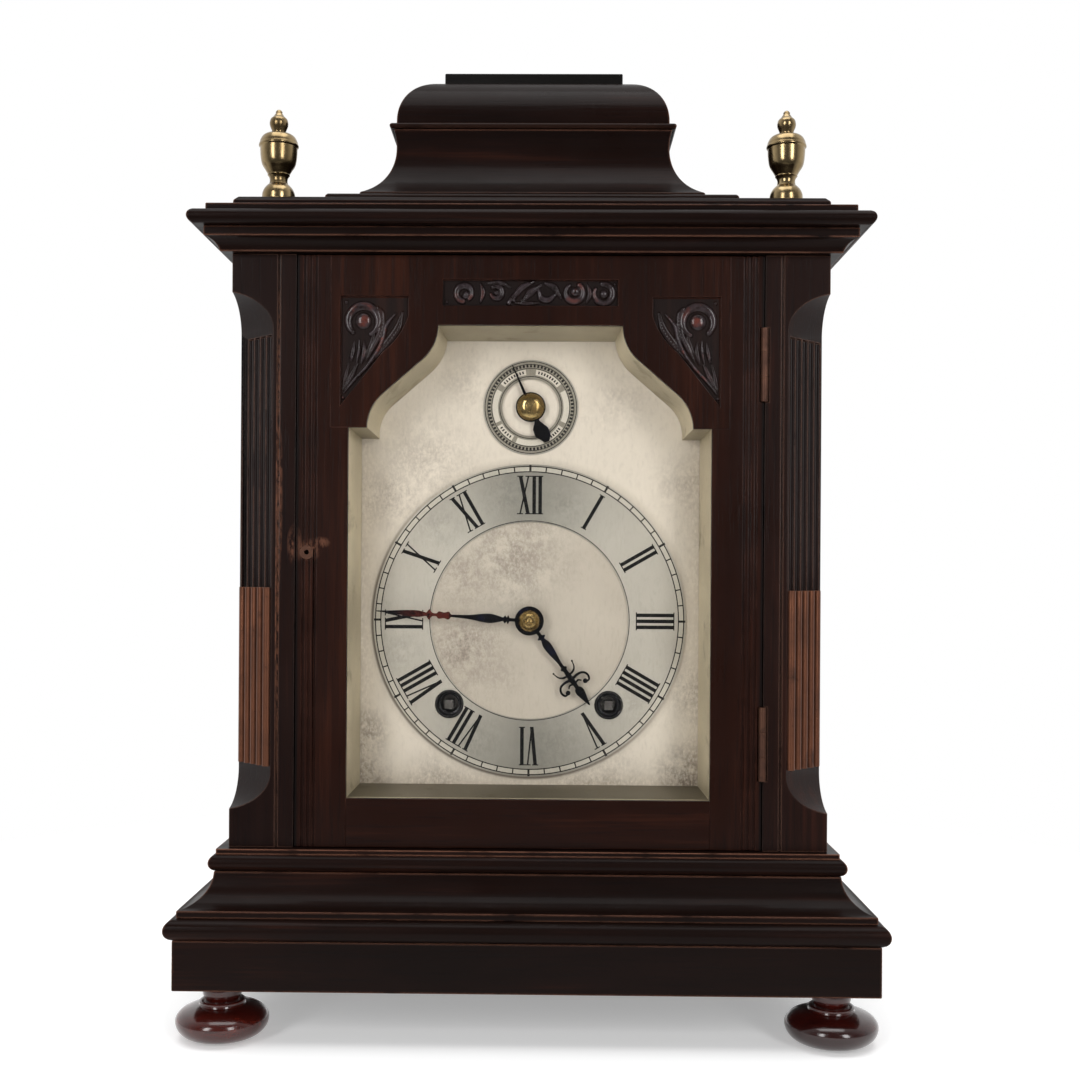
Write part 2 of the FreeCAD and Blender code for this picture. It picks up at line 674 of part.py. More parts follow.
post_block = box("post_block", post_inner, half_width, front, front + dim.post_depth, case_z, cornice_z)
leaf_tools = hinge_recesses("post", post_inner, post_inner + leaf_sink)
keep(cut("post_right", post_block, post_tools + leaf_tools), "corner_post_right")

bolt_z = dim.lock_height
bolt_y = front + dim.door_thickness / 2
keyway = box("keyway", post_inner, post_inner + dim.bolt_travel + 1, bolt_y - dim.bolt_thick / 2 - dim.fit_gap,
             bolt_y + dim.bolt_thick / 2 + dim.fit_gap, bolt_z - dim.bolt_high / 2 - dim.fit_gap,
             bolt_z + dim.bolt_high / 2 + dim.fit_gap)
left_twin = cut("post_left_twin", post_block, post_tools + [keyway])
keep(mirror("post_left", left_twin), "corner_post_left")

reed_set = group("reed_set", reeds)
keep(group("reed_pair", [reed_set, mirror("reed_set_mirrored", reed_set)]), "stop_reeds")

# ---------------------------------------------------------------- front door

ogee_run = dim.neck_half - dim.crown_half
ogee_radius = dim.arch_rise * dim.ogee_share
lean_run = ogee_radius * 2 - ogee_run
lean = root(lean_run * lean_run + dim.arch_rise * dim.arch_rise)
ogee_angle = bearing(dim.arch_rise, lean_run) - arc_cosine(ogee_radius * 2 / lean)


def arch(grow):
    """Right-hand half of the shaped opening's head, moved outward by grow, from shoulder to crown."""
    lower_x = dim.neck_half - ogee_radius
    upper_x = dim.crown_half + ogee_radius
    lower_radius = ogee_radius + grow
    upper_radius = ogee_radius - grow
    return [
        (lower_x + root(lower_radius * lower_radius - grow * grow), opening_shoulder + grow),
        (lower_x + lower_radius * cosine(ogee_angle), opening_shoulder + lower_radius * sine(ogee_angle),
         lower_radius, 1),
        (upper_x - upper_radius * cosine(ogee_angle), opening_top - upper_radius * sine(ogee_angle)),
        (upper_x - root(upper_radius * upper_radius - grow * grow), opening_top + grow, upper_radius, -1),
    ]


def opening(grow):
    """The whole shaped opening, moved outward by grow."""
    grow = as_size(grow)
    half = dim.opening_half + grow
    right = [(half, opening_bottom - grow), (half, opening_shoulder + grow)] + arch(grow)
    return mirror_loop(right)


def plain(x0, x1, z0, z1):
    return [(x1, z0), (x1, z1), (x0, z1), (x0, z0)]


def reeding(body, name, side):
    """Fine parallel grooves down the face of a stile, near its outer edge."""
    for index in range(int(dim.reeding_count.number)):
        inner = door_half - dim.reeding_inset - dim.reeding_pitch * index
        outer = inner - dim.reeding_width
        low, high = (outer, inner) if side > 0 else (-inner, -outer)
        pocket(body, f"{name}_{index}", [plain(low, high, door_bottom, door_top)], front, dim.reeding_depth)


rebate_depth = dim.door_thickness - dim.door_lip



def stile(name, side):
    """An upright of the door, narrower above the shoulder where the top rail is let in."""
    outline = [
        (dim.opening_half * side, door_bottom),
        (door_half * side, door_bottom),
        (door_half * side, door_top),
        (dim.rail_half * side, door_top),
        (dim.rail_half * side, opening_shoulder),
        (dim.opening_half * side, opening_shoulder),
    ]
    body = front_plate(name, door_back, dim.door_thickness, [outline])
    pocket(body, name + "_rebate", [opening(dim.rebate)], door_back, rebate_depth, backward=False)
    reeding(body, name + "_reed", side)
    return body


stile_right = stile("stile_right", 1)
stile_tools = hinge_recesses("stile", door_half - leaf_sink, door_half)
keep(cut("stile_right_cut", stile_right, stile_tools), "door_stile_right")

stile_left = stile("stile_left", -1)
bush_x = -door_half + dim.bush_offset
pocket(stile_left, "bush_seat", [], front, dim.bush_depth + dim.fit_gap,
       circles=[(bush_x, dim.lock_height, dim.bush_radius + dim.fit_gap / 6)])
# the closing edge leans back so that it clears the post as the door swings
edge_slope = extrusion("edge_slope", Rotation(Vector(0, 0, 1), 0), [
    (-door_half, front),
    (-door_half + dim.edge_bevel, door_back),
    (-door_half, door_back),
], cornice_z - case_z, z=case_z)
lock_x = -door_half + dim.edge_bevel
lock_y0 = bolt_y - dim.lock_thick / 2
lock_y1 = bolt_y + dim.lock_thick / 2
lock_low = dim.lock_height - dim.lock_long / 2
lock_high = dim.lock_height + dim.lock_long / 2
lock_seat = box("lock_seat", -door_half, lock_x + dim.lock_wide + dim.fit_gap, lock_y0 - dim.fit_gap / 2,
                lock_y1 + dim.fit_gap / 2, lock_low - dim.fit_gap / 2, lock_high + dim.fit_gap / 2)
keep(cut("stile_left_cut", stile_left, [edge_slope, lock_seat]), "door_stile_left")

rail_bottom = front_plate("rail_bottom", door_back, dim.door_thickness,
                          [plain(-dim.opening_half, dim.opening_half, door_bottom, opening_bottom)])
pocket(rail_bottom, "rail_bottom_rebate", [opening(dim.rebate)], door_back, rebate_depth, backward=False)
keep(rail_bottom, "door_bottom_rail")



def reversed_loop(points):
    """The same open outline walked the other way."""
    walked = []
    for index in range(len(points) - 1, -1, -1):
        bend = points[index + 1][2:] if index + 1 < len(points) else ()
        walked.append((points[index][0], points[index][1]) + flip(bend))
    return walked


head = [
    (dim.rail_half, opening_shoulder),
    (dim.rail_half, door_top),
    (-dim.rail_half, door_top),
    (-dim.rail_half, opening_shoulder),
]
rail_top = front_plate("rail_top", door_back, dim.door_thickness, [head + reversed_loop(mirror_loop(arch(as_size(0))))])
pocket(rail_top, "rail_top_rebate", [opening(dim.rebate)], door_back, rebate_depth, backward=False)


def spandrel(side):
    """The sunk corner field of the door head, which runs alongside the arch."""
    outer = (dim.opening_half + dim.spandrel_out) * side
    inner = (dim.crown_half + dim.spandrel_in) * side
    knee = (dim.crown_half + dim.spandrel_knee_out) * side
    return [
        (outer, opening_shoulder + dim.spandrel_toe),
        (outer, door_top - dim.spandrel_drop),
        (inner, door_top - dim.spandrel_drop),
        (inner, opening_top + dim.spandrel_rise),
        (knee, opening_top - dim.spandrel_knee_drop, dim.spandrel_radius, side),
    ]


tablet_half = dim.crown_half - dim.tablet_inset
tablet_z = opening_top + dim.tablet_rise
tablet = plain(-tablet_half, tablet_half, tablet_z, tablet_z + dim.tablet_height)
pocket(rail_top, "carving_fields", [spandrel(1), spandrel(-1), tablet], front, dim.carving_depth)
keep(rail_top, "door_top_rail")

glass_gap = dim.rebate - dim.fit_gap
keep(front_plate("glass", glass_back, dim.glass_thickness, [opening(glass_gap)]), "door_glass")

# sight slip: a flange against the glass and a splayed wall back to the dial
slip_back = dial_front - dim.slip_gap
slip_body = doc.addObject("PartDesign::Body", "slip_body")
flange_face = body_sketch(slip_body, "XZ_Plane", -(glass_back + dim.slip_flange), "slip_flange_face")
draw(flange_face, opening(glass_gap), opening(0))
flange = slip_body.newObject("PartDesign::Pad", "slip_flange_pad")
flange.Profile = flange_face
bind(flange, Length=dim.slip_flange)


def slip_loft(kind, name, grow_front, grow_back):
    loft = slip_body.newObject(kind, name)
    near = body_sketch(slip_body, "XZ_Plane", -glass_back, name + "_near")
    far = body_sketch(slip_body, "XZ_Plane", -slip_back, name + "_far")
    draw(near, opening(grow_front))
    draw(far, opening(grow_back))
    loft.Profile = near
    loft.Sections = [far]
    loft.Ruled = True


slip_loft("PartDesign::AdditiveLoft", "slip_outside", dim.slip_wall, dim.slip_wall - dim.slip_splay)
slip_loft("PartDesign::SubtractiveLoft", "slip_inside", 0, -dim.slip_splay)
keep(slip_body, "sight_slip")

# ---------------------------------------------------------------- front door hinges


def hinge_halves(name, side, x, y, barrel, gap, centres, long, toward):
    """Three-knuckle butt hinges: side 1 has the outer knuckles and the pin, side -1 the middle one.

    Each leaf runs from the barrel's axis toward the back (1) or the front (-1).
    """
    knuckle = long / 3
    pieces = []
    for index, centre in enumerate(centres):
        low, high = centre - long / 2, centre + long / 2
        if side > 0:
            spans = [(low, low + knuckle - dim.knuckle_gap), (high - knuckle + dim.knuckle_gap, high)]
            bars = [upright(f"{name}_pin_{index}", dim.pin_radius, x, y, low, high)]
        else:
            spans = [(low + knuckle, high - knuckle)]
            bars = []
        for number, (z0, z1) in enumerate(spans):
            bars.append(upright(f"{name}_knuckle_{index}_{number}", barrel, x, y, z0, z1))
            leaf_y = (y, y + dim.leaf_depth) if toward > 0 else (y - dim.leaf_depth, y)
            edge = x + gap / 2 * side
            leaf_x = (edge, edge + dim.leaf_thickness) if side > 0 else (edge - dim.leaf_thickness, edge)
            bars.append(box(f"{name}_root_{index}_{number}", *leaf_x, *leaf_y, z0, z1))
        half = fuse(f"{name}_half_{index}", bars)
        if side < 0:
            bore = upright(f"{name}_bore_{index}", dim.pin_radius + dim.pin_clearance, x, y, low, high)
            half = cut(f"{name}_bored_{index}", half, [bore])
        pieces.append(half)
    return group(name, pieces)


keep(hinge_halves("case_leaves", 1, hinge_x, hinge_y, dim.hinge_barrel, dim.door_gap, hinge_centres,
                  dim.hinge_length, 1), "case_hinge_leaves")
keep(hinge_halves("door_leaves", -1, hinge_x, hinge_y, dim.hinge_barrel, dim.door_gap, hinge_centres,
                  dim.hinge_length, 1), "door_hinge_leaves")

# ---------------------------------------------------------------- lock

lock_case = box("lock_case", lock_x, lock_x + dim.lock_wide, lock_y0, lock_y1, lock_low, lock_high)
bolt_slot = box("bolt_slot", lock_x, lock_x + dim.bolt_long + dim.slide_gap * 2 - dim.fit_gap,
                bolt_y - dim.bolt_thick / 2 - dim.slide_gap, bolt_y + dim.bolt_thick / 2 + dim.slide_gap,
                bolt_z - dim.bolt_high / 2 - dim.slide_gap, bolt_z + dim.bolt_high / 2 + dim.slide_gap)
keep(cut("lock_box", lock_case, [bolt_slot]), "door_lock")
bolt_x = lock_x + dim.slide_gap
keep(box("bolt", bolt_x, lock_x + dim.bolt_long - dim.fit_gap, bolt_y - dim.bolt_thick / 2,
         bolt_y + dim.bolt_thick / 2, bolt_z - dim.bolt_high / 2, bolt_z + dim.bolt_high / 2), "lock_bolt")

bush_outline = [
    (dim.keyhole_radius, 0),
    (dim.bush_radius, 0),
    (dim.bush_radius, dim.bush_depth),
    (dim.keyhole_radius, dim.bush_depth),
]
bush = turned("bush", bush_outline)
keep(face_front(bush, bush_x, front + dim.bush_depth, dim.lock_height), "keyhole_bush")

# ---------------------------------------------------------------- dial and hands

winding_holes = [(dim.winding_spread * side, winding_z, dim.winding_hole) for side in (-1, 1)]
dial = front_plate("dial", dial_back, dim.dial_thickness,
                   [plain(-dim.dial_half, dim.dial_half, dim.dial_bottom, dim.dial_top)],
                   winding_holes + [(0, dim.dial_centre, dim.dial_hole), (0, dim.small_dial_centre, dim.arbor_radius)])
keep(dial, "dial_plate")

ring = front_plate("ring", dial_front, dim.ring_thickness, [], [
    (0, dim.dial_centre, dim.ring_radius), (0, dim.dial_centre, dim.ring_inner)] + winding_holes)
keep(ring, "chapter_ring")
small_ring = front_plate("small_ring", dial_front, dim.ring_thickness, [], [
    (0, dim.small_dial_centre, dim.small_dial_radius), (0, dim.small_dial_centre, dim.small_dial_inner)])
keep(small_ring, "subsidiary_ring")

collar_outline = [
    (dim.winding_bush, 0),
    (dim.winding_hole - dim.run_clearance, 0),
    (dim.winding_hole - dim.run_clearance, dim.dial_thickness + dim.ring_thickness + dim.winding_bush_proud),
    (dim.winding_bush, dim.dial_thickness + dim.ring_thickness + dim.winding_bush_proud),
]
collars = []
for collar_side in (-1, 1):
    collar = turned(f"collar_{collar_side + 1}", collar_outline)
    collars.append(face_front(collar, dim.winding_spread * collar_side, dial_back, winding_z))
keep(group("collars", collars), "winding_collars")

batten = box("batten", dim.batten_inner, inner_side, dial_back, dial_back + dim.batten_thickness, case_z, cornice_z)
keep(group("batten_pair", [batten, mirror("batten_mirrored", batten)]), "dial_battens")


def hand(name, outline, bore, y_back, centre_z, angle):
    """A flat hand drawn pointing up, then turned clockwise to its place."""
    body = doc.addObject("PartDesign::Body", name)
    sketch = body_sketch(body, "XZ_Plane", 0, name + "_outline")
    draw(sketch, mirror_loop(outline))
    draw_circle(sketch, 0, 0, bore)
    pad = body.newObject("PartDesign::Pad", name + "_pad")
    pad.Profile = sketch
    bind(pad, Length=dim.hand_thickness)
    body.Placement = Placement(Vector(0, 0, 0), Rotation(Vector(0, 1, 0), angle.number))
    bind(body, Placement__Rotation__Angle=angle)
    place(body, 0, y_back, centre_z)
    return body


def hub_arc(radius, half, up):
    """Where a hand of this half-width leaves its round hub."""
    return root(radius * radius - half * half) * up


minute_root = as_size(1.3)
minute_outline = [
    (0, -dim.hub_radius),
    (dim.hub_radius, 0, dim.hub_radius, 1),
    (minute_root, hub_arc(dim.hub_radius, minute_root, 1), dim.hub_radius, 1),
    (2.4, dim.minute_reach * 0.19),
    (0.9, dim.minute_reach * 0.27),
    (0.9, dim.minute_reach * 0.5),
    (2.2, dim.minute_reach * 0.6),
    (0.8, dim.minute_reach * 0.7),
    (0.25, dim.minute_reach),
]
minute_y = ring_front - dim.minute_hand_gap
minute_hand = hand("minute", minute_outline, dim.cannon_radius + dim.run_clearance, minute_y, dim.dial_centre,
                   dim.minute_angle)
keep(minute_hand, "minute_hand")

hour_root = as_size(1.5)
hour_outline = [
    (0, -dim.hub_radius),
    (dim.hub_radius, 0, dim.hub_radius, 1),
    (hour_root, hub_arc(dim.hub_radius, hour_root, 1), dim.hub_radius, 1),
    (2.2, dim.hour_reach * 0.3),
    (1.0, dim.hour_reach * 0.42),
    (1.2, dim.hour_reach * 0.56),
    (6.4, dim.hour_reach * 0.64),
    (5.6, dim.hour_reach * 0.74),
    (1.8, dim.hour_reach * 0.76),
    (0.35, dim.hour_reach),
]
hour_y = ring_front - dim.hour_hand_gap
keep(hand("hour", hour_outline, dim.hour_pipe_radius + dim.run_clearance, hour_y, dim.dial_centre, dim.hour_angle),
     "hour_hand")

nut_outline = [
    (0, 0),
    (dim.hub_nut_radius, 0),
    (dim.hub_nut_radius, dim.hub_nut_height * 0.3),
    (dim.hub_nut_radius * 0.8, dim.hub_nut_height * 0.7),
    (dim.hub_nut_radius * 0.4, dim.hub_nut_height),
    (0, dim.hub_nut_height),
]
hub_nut = turned("nut", nut_outline)
keep(face_front(hub_nut, 0, minute_y - dim.hand_thickness, dim.dial_centre), "hub_nut")

small_root = as_size(0.5)
tail_half = as_size(3.0)
small_outline = [
    (0, -dim.small_hand_tail),
    (tail_half, -dim.small_hand_tail * 0.72),
    (small_root * 2, -dim.small_hand_tail * 0.45),
    (small_root * 2, -dim.small_hand_tail * 0.2),
    (small_root, dim.small_hand_reach * 0.2),
    (small_root * 0.4, dim.small_hand_reach),
]
small_hand_y = ring_front - dim.small_hand_gap
small_hand = hand("small", small_outline, as_size(0.7), small_hand_y, dim.small_dial_centre, dim.small_hand_angle)
keep(small_hand, "subsidiary_hand")
stem = dim.arbor_radius - dim.run_clearance
boss_back = dial_back + dim.wheel_thickness
boss_seat = boss_back - small_hand_y + dim.hand_thickness
boss_outline = [
    (0, 0),
    (stem * 2, 0),
    (stem * 2, dim.wheel_thickness * 0.8),
    (stem, dim.wheel_thickness * 0.8),
    (stem, boss_back - small_hand_y),
    (as_size(0.65), boss_back - small_hand_y),
    (as_size(0.65), boss_seat),
    (dim.small_boss_radius, boss_seat),
    (dim.small_boss_radius, boss_seat + dim.small_boss_height * 0.3),
    (dim.small_boss_radius * 0.8, boss_seat + dim.small_boss_height * 0.7),
    (dim.small_boss_radius * 0.4, boss_seat + dim.small_boss_height),
    (0, boss_seat + dim.small_boss_height),
]
boss = turned("boss", boss_outline)
keep(face_front(boss, 0, boss_back, dim.small_dial_centre), "subsidiary_boss")

# ---------------------------------------------------------------- movement


def tooth_wheel(teeth, pitch_radius, thickness, bore, start=0.0, depth=1.0, width=0.22):
    """A flat toothed wheel about the Z axis: straight-sided teeth, thinner than their gaps."""
    pitch = 2 * math.pi * pitch_radius / teeth
    addendum = pitch / math.pi * depth
    step = 2 * math.pi / teeth
    corners = []
    for index in range(teeth):
        middle = start + step * index
        for angle, radius in ((-width * 1.35, -1.25), (-width * 0.5, 0.85), (width * 0.5, 0.85), (width * 1.35, -1.25)):
            turn = middle + angle * step
            reach = pitch_radius + radius * addendum
            corners.append(Vector(reach * math.cos(turn), reach * math.sin(turn), 0))
    wheel = Part.Face(Part.makePolygon(corners + corners[:1])).extrude(Vector(0, 0, thickness))
    if bore > 0:
        wheel = wheel.cut(Part.makeCylinder(bore, thickness))
    return wheel


def along_y(shape, x, y_back, z):
    """Turn a shape made about +Z so that it points to the front from y_back."""
    turned_shape = shape.copy()
    turned_shape.Placement = Placement(Vector(x, y_back, z), Rotation(Vector(1, 0, 0), 90))
    return turned_shape


def bar_y(radius, x, y0, y1, z):
    """A round bar along Y as a bare shape."""
    return Part.makeCylinder(radius, y1 - y0, Vector(x, y0, z), Vector(0, 1, 0))


def feature(label, shape):
    """A sub-part whose shape is worked out here from the sheet's sizes."""
    item = doc.addObject("Part::Feature", label)
    item.Shape = shape
    return keep(item, label)


value = SimpleNamespace(**{alias: size.number for alias, size in vars(dim).items()})
centre_z = value.dial_centre
inside_front = plate_inside_front.number
inside_back = plate_inside_back.number
face_y = plate_front_y.number
tail_y = plate_back_y.number
wind_z = winding_z.number

# where the arbors of the going train stand
third_turn = math.radians(value.third_turn)
third_x = value.third_distance * math.cos(third_turn)
third_z = centre_z + value.third_distance * math.sin(third_turn)
third_module = 2 * value.third_distance / (value.centre_teeth + value.third_leaves)
centre_wheel_radius = third_module * value.centre_teeth / 2
third_pinion_radius = third_module * value.third_leaves / 2
escape_z = third_z + abs(third_x) * 1.3
escape_distance = math.hypot(third_x, escape_z - third_z)
escape_module = 2 * escape_distance / (value.third_teeth + value.escape_leaves)
third_wheel_radius = escape_module * value.third_teeth / 2
escape_pinion_radius = escape_module * value.escape_leaves / 2
pallet_z = escape_z + value.pallet_rise
great_distance = math.hypot(value.winding_spread, value.winding_drop)
great_module = 2 * great_distance / (value.great_teeth + value.centre_leaves)
great_radius = great_module * value.great_teeth / 2
centre_pinion_radius = great_module * value.centre_leaves / 2

arbor = value.arbor_radius
pivot = arbor + value.run_clearance
barrel_pivot = value.barrel_arbor + value.run_clearance
plate_low = seat_z.number


def plate_shape(y0):
    """One movement plate with its pivot holes."""
    wide, thick = value.plate_half, value.plate_thickness
    plate = Part.makeBox(2 * wide, thick, value.plate_top - plate_low, Vector(-wide, y0, plate_low))
    holes = [bar_y(pivot, x, y0, y0 + thick, z) for x, z in ((0, centre_z), (third_x, third_z), (0, escape_z), (0, pallet_z))]
    holes += [bar_y(barrel_pivot, side * value.winding_spread, y0, y0 + thick, wind_z) for side in (-1, 1)]
    holes.append(bar_y(value.hammer_arbor + value.run_clearance, -value.hammer_spread, y0, y0 + thick,
                       value.hammer_height))
    return plate.cut(holes)


# two pillars at the upper corners, one between the great wheels
pillar_out = value.plate_half - value.pillar_inset
pillar_high = value.plate_top - value.pillar_inset
pillar_places = [(-pillar_out, pillar_high), (pillar_out, pillar_high), (0, plate_low + value.pillar_inset)]
pillars = [bar_y(value.pillar_radius, x, inside_front, inside_back, z) for x, z in pillar_places]
cock_y = tail_y + value.cock_reach
cock_z = pallet_z
cock = Part.makeBox(value.cock_width, value.cock_reach, value.plate_thickness,
                    Vector(-value.cock_width / 2, tail_y, value.plate_top - value.plate_thickness))
cock_arm = Part.makeBox(value.cock_width, value.plate_thickness, value.plate_top - cock_z + 2 * value.arbor_radius,
                        Vector(-value.cock_width / 2, cock_y - value.plate_thickness, cock_z - 2 * value.arbor_radius))
cock_stud = bar_y(value.arbor_radius * 0.6, 0, tail_y + value.plate_thickness + 2, cock_y, cock_z)
minute_stud_x = value.motion_distance * math.cos(math.radians(-150))
minute_stud_z = centre_z + value.motion_distance * math.sin(math.radians(-150))
minute_stud = bar_y(value.arbor_radius * 0.7, minute_stud_x, dial_back.number + 2.0, face_y, minute_stud_z)
front_frame = plate_shape(face_y).fuse(minute_stud)
back_frame = plate_shape(inside_back).fuse(pillars + [cock, cock_arm, cock_stud])
feature("movement_plates", Part.makeCompound([front_frame, back_frame]))

keep(box("seat", -inner_side, inner_side, plate_front_y - dim.plate_thickness, plate_back_y + dim.plate_thickness,
         case_z, seat_z), "seat_board")

# motion work: cannon pinion, minute wheel with its pinion, hour wheel
motion_module = 2 * value.motion_distance / (value.cannon_leaves + value.minute_wheel_teeth)
hour_module = 2 * value.motion_distance / (value.minute_leaves + value.hour_wheel_teeth)
motion_thick = value.motion_wheel_thickness
lower_wheel_y = face_y - value.run_clearance * 4
upper_wheel_y = lower_wheel_y - motion_thick * 2.4


def mesh_start(teeth, direction, centre_on_tooth):
    """The angle of the first tooth, so that a tooth or a gap faces along direction (degrees from +X)."""
    step = 2 * math.pi / teeth
    return math.radians(direction) + (0 if centre_on_tooth else step / 2)


# shapes are made about +Z and then face the front, where angles read counter-clockwise from +X
to_minute_wheel = -150.0
cannon = tooth_wheel(int(value.cannon_leaves), motion_module * value.cannon_leaves / 2, motion_thick, 0,
                     mesh_start(value.cannon_leaves, to_minute_wheel, True))
cannon_long = lower_wheel_y - (minute_y.number - value.hand_thickness)
cannon_shape = cannon.fuse(Part.makeCylinder(value.cannon_radius, cannon_long))
cannon_shape = cannon_shape.cut(Part.makeCylinder(pivot, cannon_long))
feature("cannon_pinion", along_y(cannon_shape, 0, lower_wheel_y, centre_z))

minute_teeth = tooth_wheel(int(value.minute_wheel_teeth), motion_module * value.minute_wheel_teeth / 2, motion_thick,
                           0, mesh_start(value.minute_wheel_teeth, to_minute_wheel + 180, False))
minute_pinion = tooth_wheel(int(value.minute_leaves), hour_module * value.minute_leaves / 2, motion_thick * 4, 0,
                            mesh_start(value.minute_leaves, to_minute_wheel + 180, True))
minute_bore = Part.makeCylinder(value.arbor_radius * 0.7 + value.run_clearance, motion_thick * 4)
feature("minute_wheel", along_y(minute_teeth.fuse(minute_pinion).cut(minute_bore), minute_stud_x, lower_wheel_y,
                                minute_stud_z))

hour_teeth = tooth_wheel(int(value.hour_wheel_teeth), hour_module * value.hour_wheel_teeth / 2, motion_thick, 0,
                         mesh_start(value.hour_wheel_teeth, to_minute_wheel, False))
hour_long = upper_wheel_y - (hour_y.number - value.hand_thickness)
hour_shape = hour_teeth.fuse(Part.makeCylinder(value.hour_pipe_radius, hour_long))
hour_shape = hour_shape.cut(Part.makeCylinder(value.cannon_radius + value.run_clearance, hour_long))
feature("hour_wheel", along_y(hour_shape, 0, upper_wheel_y, centre_z))

# going train between the plates: great wheel, centre, third and escape
layer_great = inside_front + value.wheel_thickness * 2
layer_centre = layer_great + value.wheel_thickness * 4
layer_third = layer_centre + value.wheel_thickness * 4
layer_escape = layer_third + value.wheel_thickness * 3


def arbor_piece(x, z, y0, y1, radius):
    return bar_y(radius, x, y0, y1, z)


def wheel_at(teeth, radius, x, z, y_back, thickness, start, width=0.22):
    return along_y(tooth_wheel(int(teeth), radius, thickness, 0, start, width=width), x, y_back, z)


to_centre = math.degrees(math.atan2(value.winding_drop, -value.winding_spread))
great_wheel = wheel_at(value.great_teeth, great_radius, value.winding_spread, wind_z,
                       layer_great + value.wheel_thickness, value.wheel_thickness,
                       mesh_start(value.great_teeth, to_centre, False))
centre_pinion = wheel_at(value.centre_leaves, centre_pinion_radius, 0, centre_z,
                         layer_great + value.wheel_thickness * 1.5, value.wheel_thickness * 2,
                         mesh_start(value.centre_leaves, to_centre + 180, True))
centre_wheel = wheel_at(value.centre_teeth, centre_wheel_radius, 0, centre_z, layer_centre + value.wheel_thickness,
                        value.wheel_thickness, mesh_start(value.centre_teeth, value.third_turn, False))
third_pinion = wheel_at(value.third_leaves, third_pinion_radius, third_x, third_z,
                        layer_centre + value.wheel_thickness * 1.5, value.wheel_thickness * 2,
                        mesh_start(value.third_leaves, value.third_turn + 180, True))
to_escape = math.degrees(math.atan2(escape_z - third_z, -third_x))
third_wheel = wheel_at(value.third_teeth, third_wheel_radius, third_x, third_z, layer_third + value.wheel_thickness,
                       value.wheel_thickness, mesh_start(value.third_teeth, to_escape, False))
escape_pinion = wheel_at(value.escape_leaves, escape_pinion_radius, 0, escape_z,
                         layer_third + value.wheel_thickness * 1.5, value.wheel_thickness * 2,
                         mesh_start(value.escape_leaves, to_escape + 180, True))
escape_wheel = wheel_at(value.escape_teeth, value.escape_radius, 0, escape_z, layer_escape + value.wheel_thickness,
                        value.wheel_thickness, mesh_start(value.escape_teeth, 90, False), width=0.12)
hand_end = minute_y.number - value.hand_thickness + value.fit_gap
centre_set = arbor_piece(0, centre_z, hand_end, tail_y, arbor).fuse([centre_pinion, centre_wheel])
third_set = arbor_piece(third_x, third_z, face_y, tail_y, arbor * 0.75).fuse([third_pinion, third_wheel])
escape_set = arbor_piece(0, escape_z, face_y, tail_y, arbor * 0.75).fuse([escape_pinion, escape_wheel])
feature("going_train", Part.makeCompound([centre_set, third_set, escape_set]))


def barrel_shape(side, wheel, drum_y0):
    drum = bar_y(value.barrel_radius, side * value.winding_spread, drum_y0, drum_y0 + value.barrel_length, wind_z)
    whole = drum.fuse(wheel)
    return whole.cut(bar_y(barrel_pivot, side * value.winding_spread, inside_front, inside_back, wind_z))


strike_layer = inside_back - value.wheel_thickness * 3
strike_wheel = wheel_at(value.great_teeth, great_radius, -value.winding_spread, wind_z,
                        strike_layer + value.wheel_thickness, value.wheel_thickness, 0)
going_barrel = barrel_shape(1, great_wheel, layer_great + value.wheel_thickness)
strike_barrel = barrel_shape(-1, strike_wheel, strike_layer - value.barrel_length)
feature("spring_barrels", Part.makeCompound([going_barrel, strike_barrel]))

square_half = value.winding_square / 2
square_front = ring_front.number - value.winding_proud
square_back = square_front + value.square_length
for name, side in (("winding_arbor_left", -1), ("winding_arbor_right", 1)):
    spindle_x = side * value.winding_spread
    spindle = arbor_piece(spindle_x, wind_z, square_back, tail_y, value.barrel_arbor)
    square = Part.makeBox(2 * square_half, value.square_length, 2 * square_half,
                          Vector(spindle_x - square_half, square_front, wind_z - square_half))
    ratchet = wheel_at(value.ratchet_teeth, value.ratchet_radius, spindle_x, wind_z, face_y - value.run_clearance * 4,
                       value.wheel_thickness, 0, width=0.12)
    feature(name, spindle.fuse([square, ratchet]))

# pallets, crutch and pendulum swing about one axis
anchor_y = layer_escape
swing_arbor = arbor_piece(0, pallet_z, face_y, tail_y + value.plate_thickness, arbor * 0.75)
reach = value.pallet_reach
tooth_tip = value.escape_radius * (1 + 1.7 / value.escape_teeth)
drop = value.pallet_rise - math.sqrt((tooth_tip + value.pallet_clearance) ** 2 - reach ** 2)
pallet = value.pallet_width
anchor_points = [(-reach - pallet, -drop + pallet / 2), (-reach, -drop), (-reach + pallet, -drop / 2),
                 (reach - pallet, -drop / 2), (reach, -drop), (reach + pallet, -drop + pallet / 2),
                 (pallet, pallet), (-pallet, pallet)]
anchor_face = Part.makePolygon([Vector(x, anchor_y, pallet_z + z) for x, z in anchor_points + anchor_points[:1]])
anchor = Part.Face(anchor_face).extrude(Vector(0, value.wheel_thickness, 0))
crutch_y = tail_y + value.plate_thickness * 0.4
crutch_long = value.pendulum_length * 0.36
crutch = Part.makeBox(2.4, value.plate_thickness * 0.5, crutch_long, Vector(-1.2, crutch_y, pallet_z - crutch_long))
fork_y = tail_y + value.pendulum_offset + value.pendulum_rod + 1
fork = [Part.makeBox(1.2, fork_y - crutch_y, 1.6, Vector(x, crutch_y, pallet_z - crutch_long))
        for x in (-value.pendulum_rod - 1.3, value.pendulum_rod + 0.1)]
fork_bridge = Part.makeBox(2 * value.pendulum_rod + 2.6, value.plate_thickness * 0.5, 1.6,
                           Vector(-value.pendulum_rod - 1.3, crutch_y, pallet_z - crutch_long))
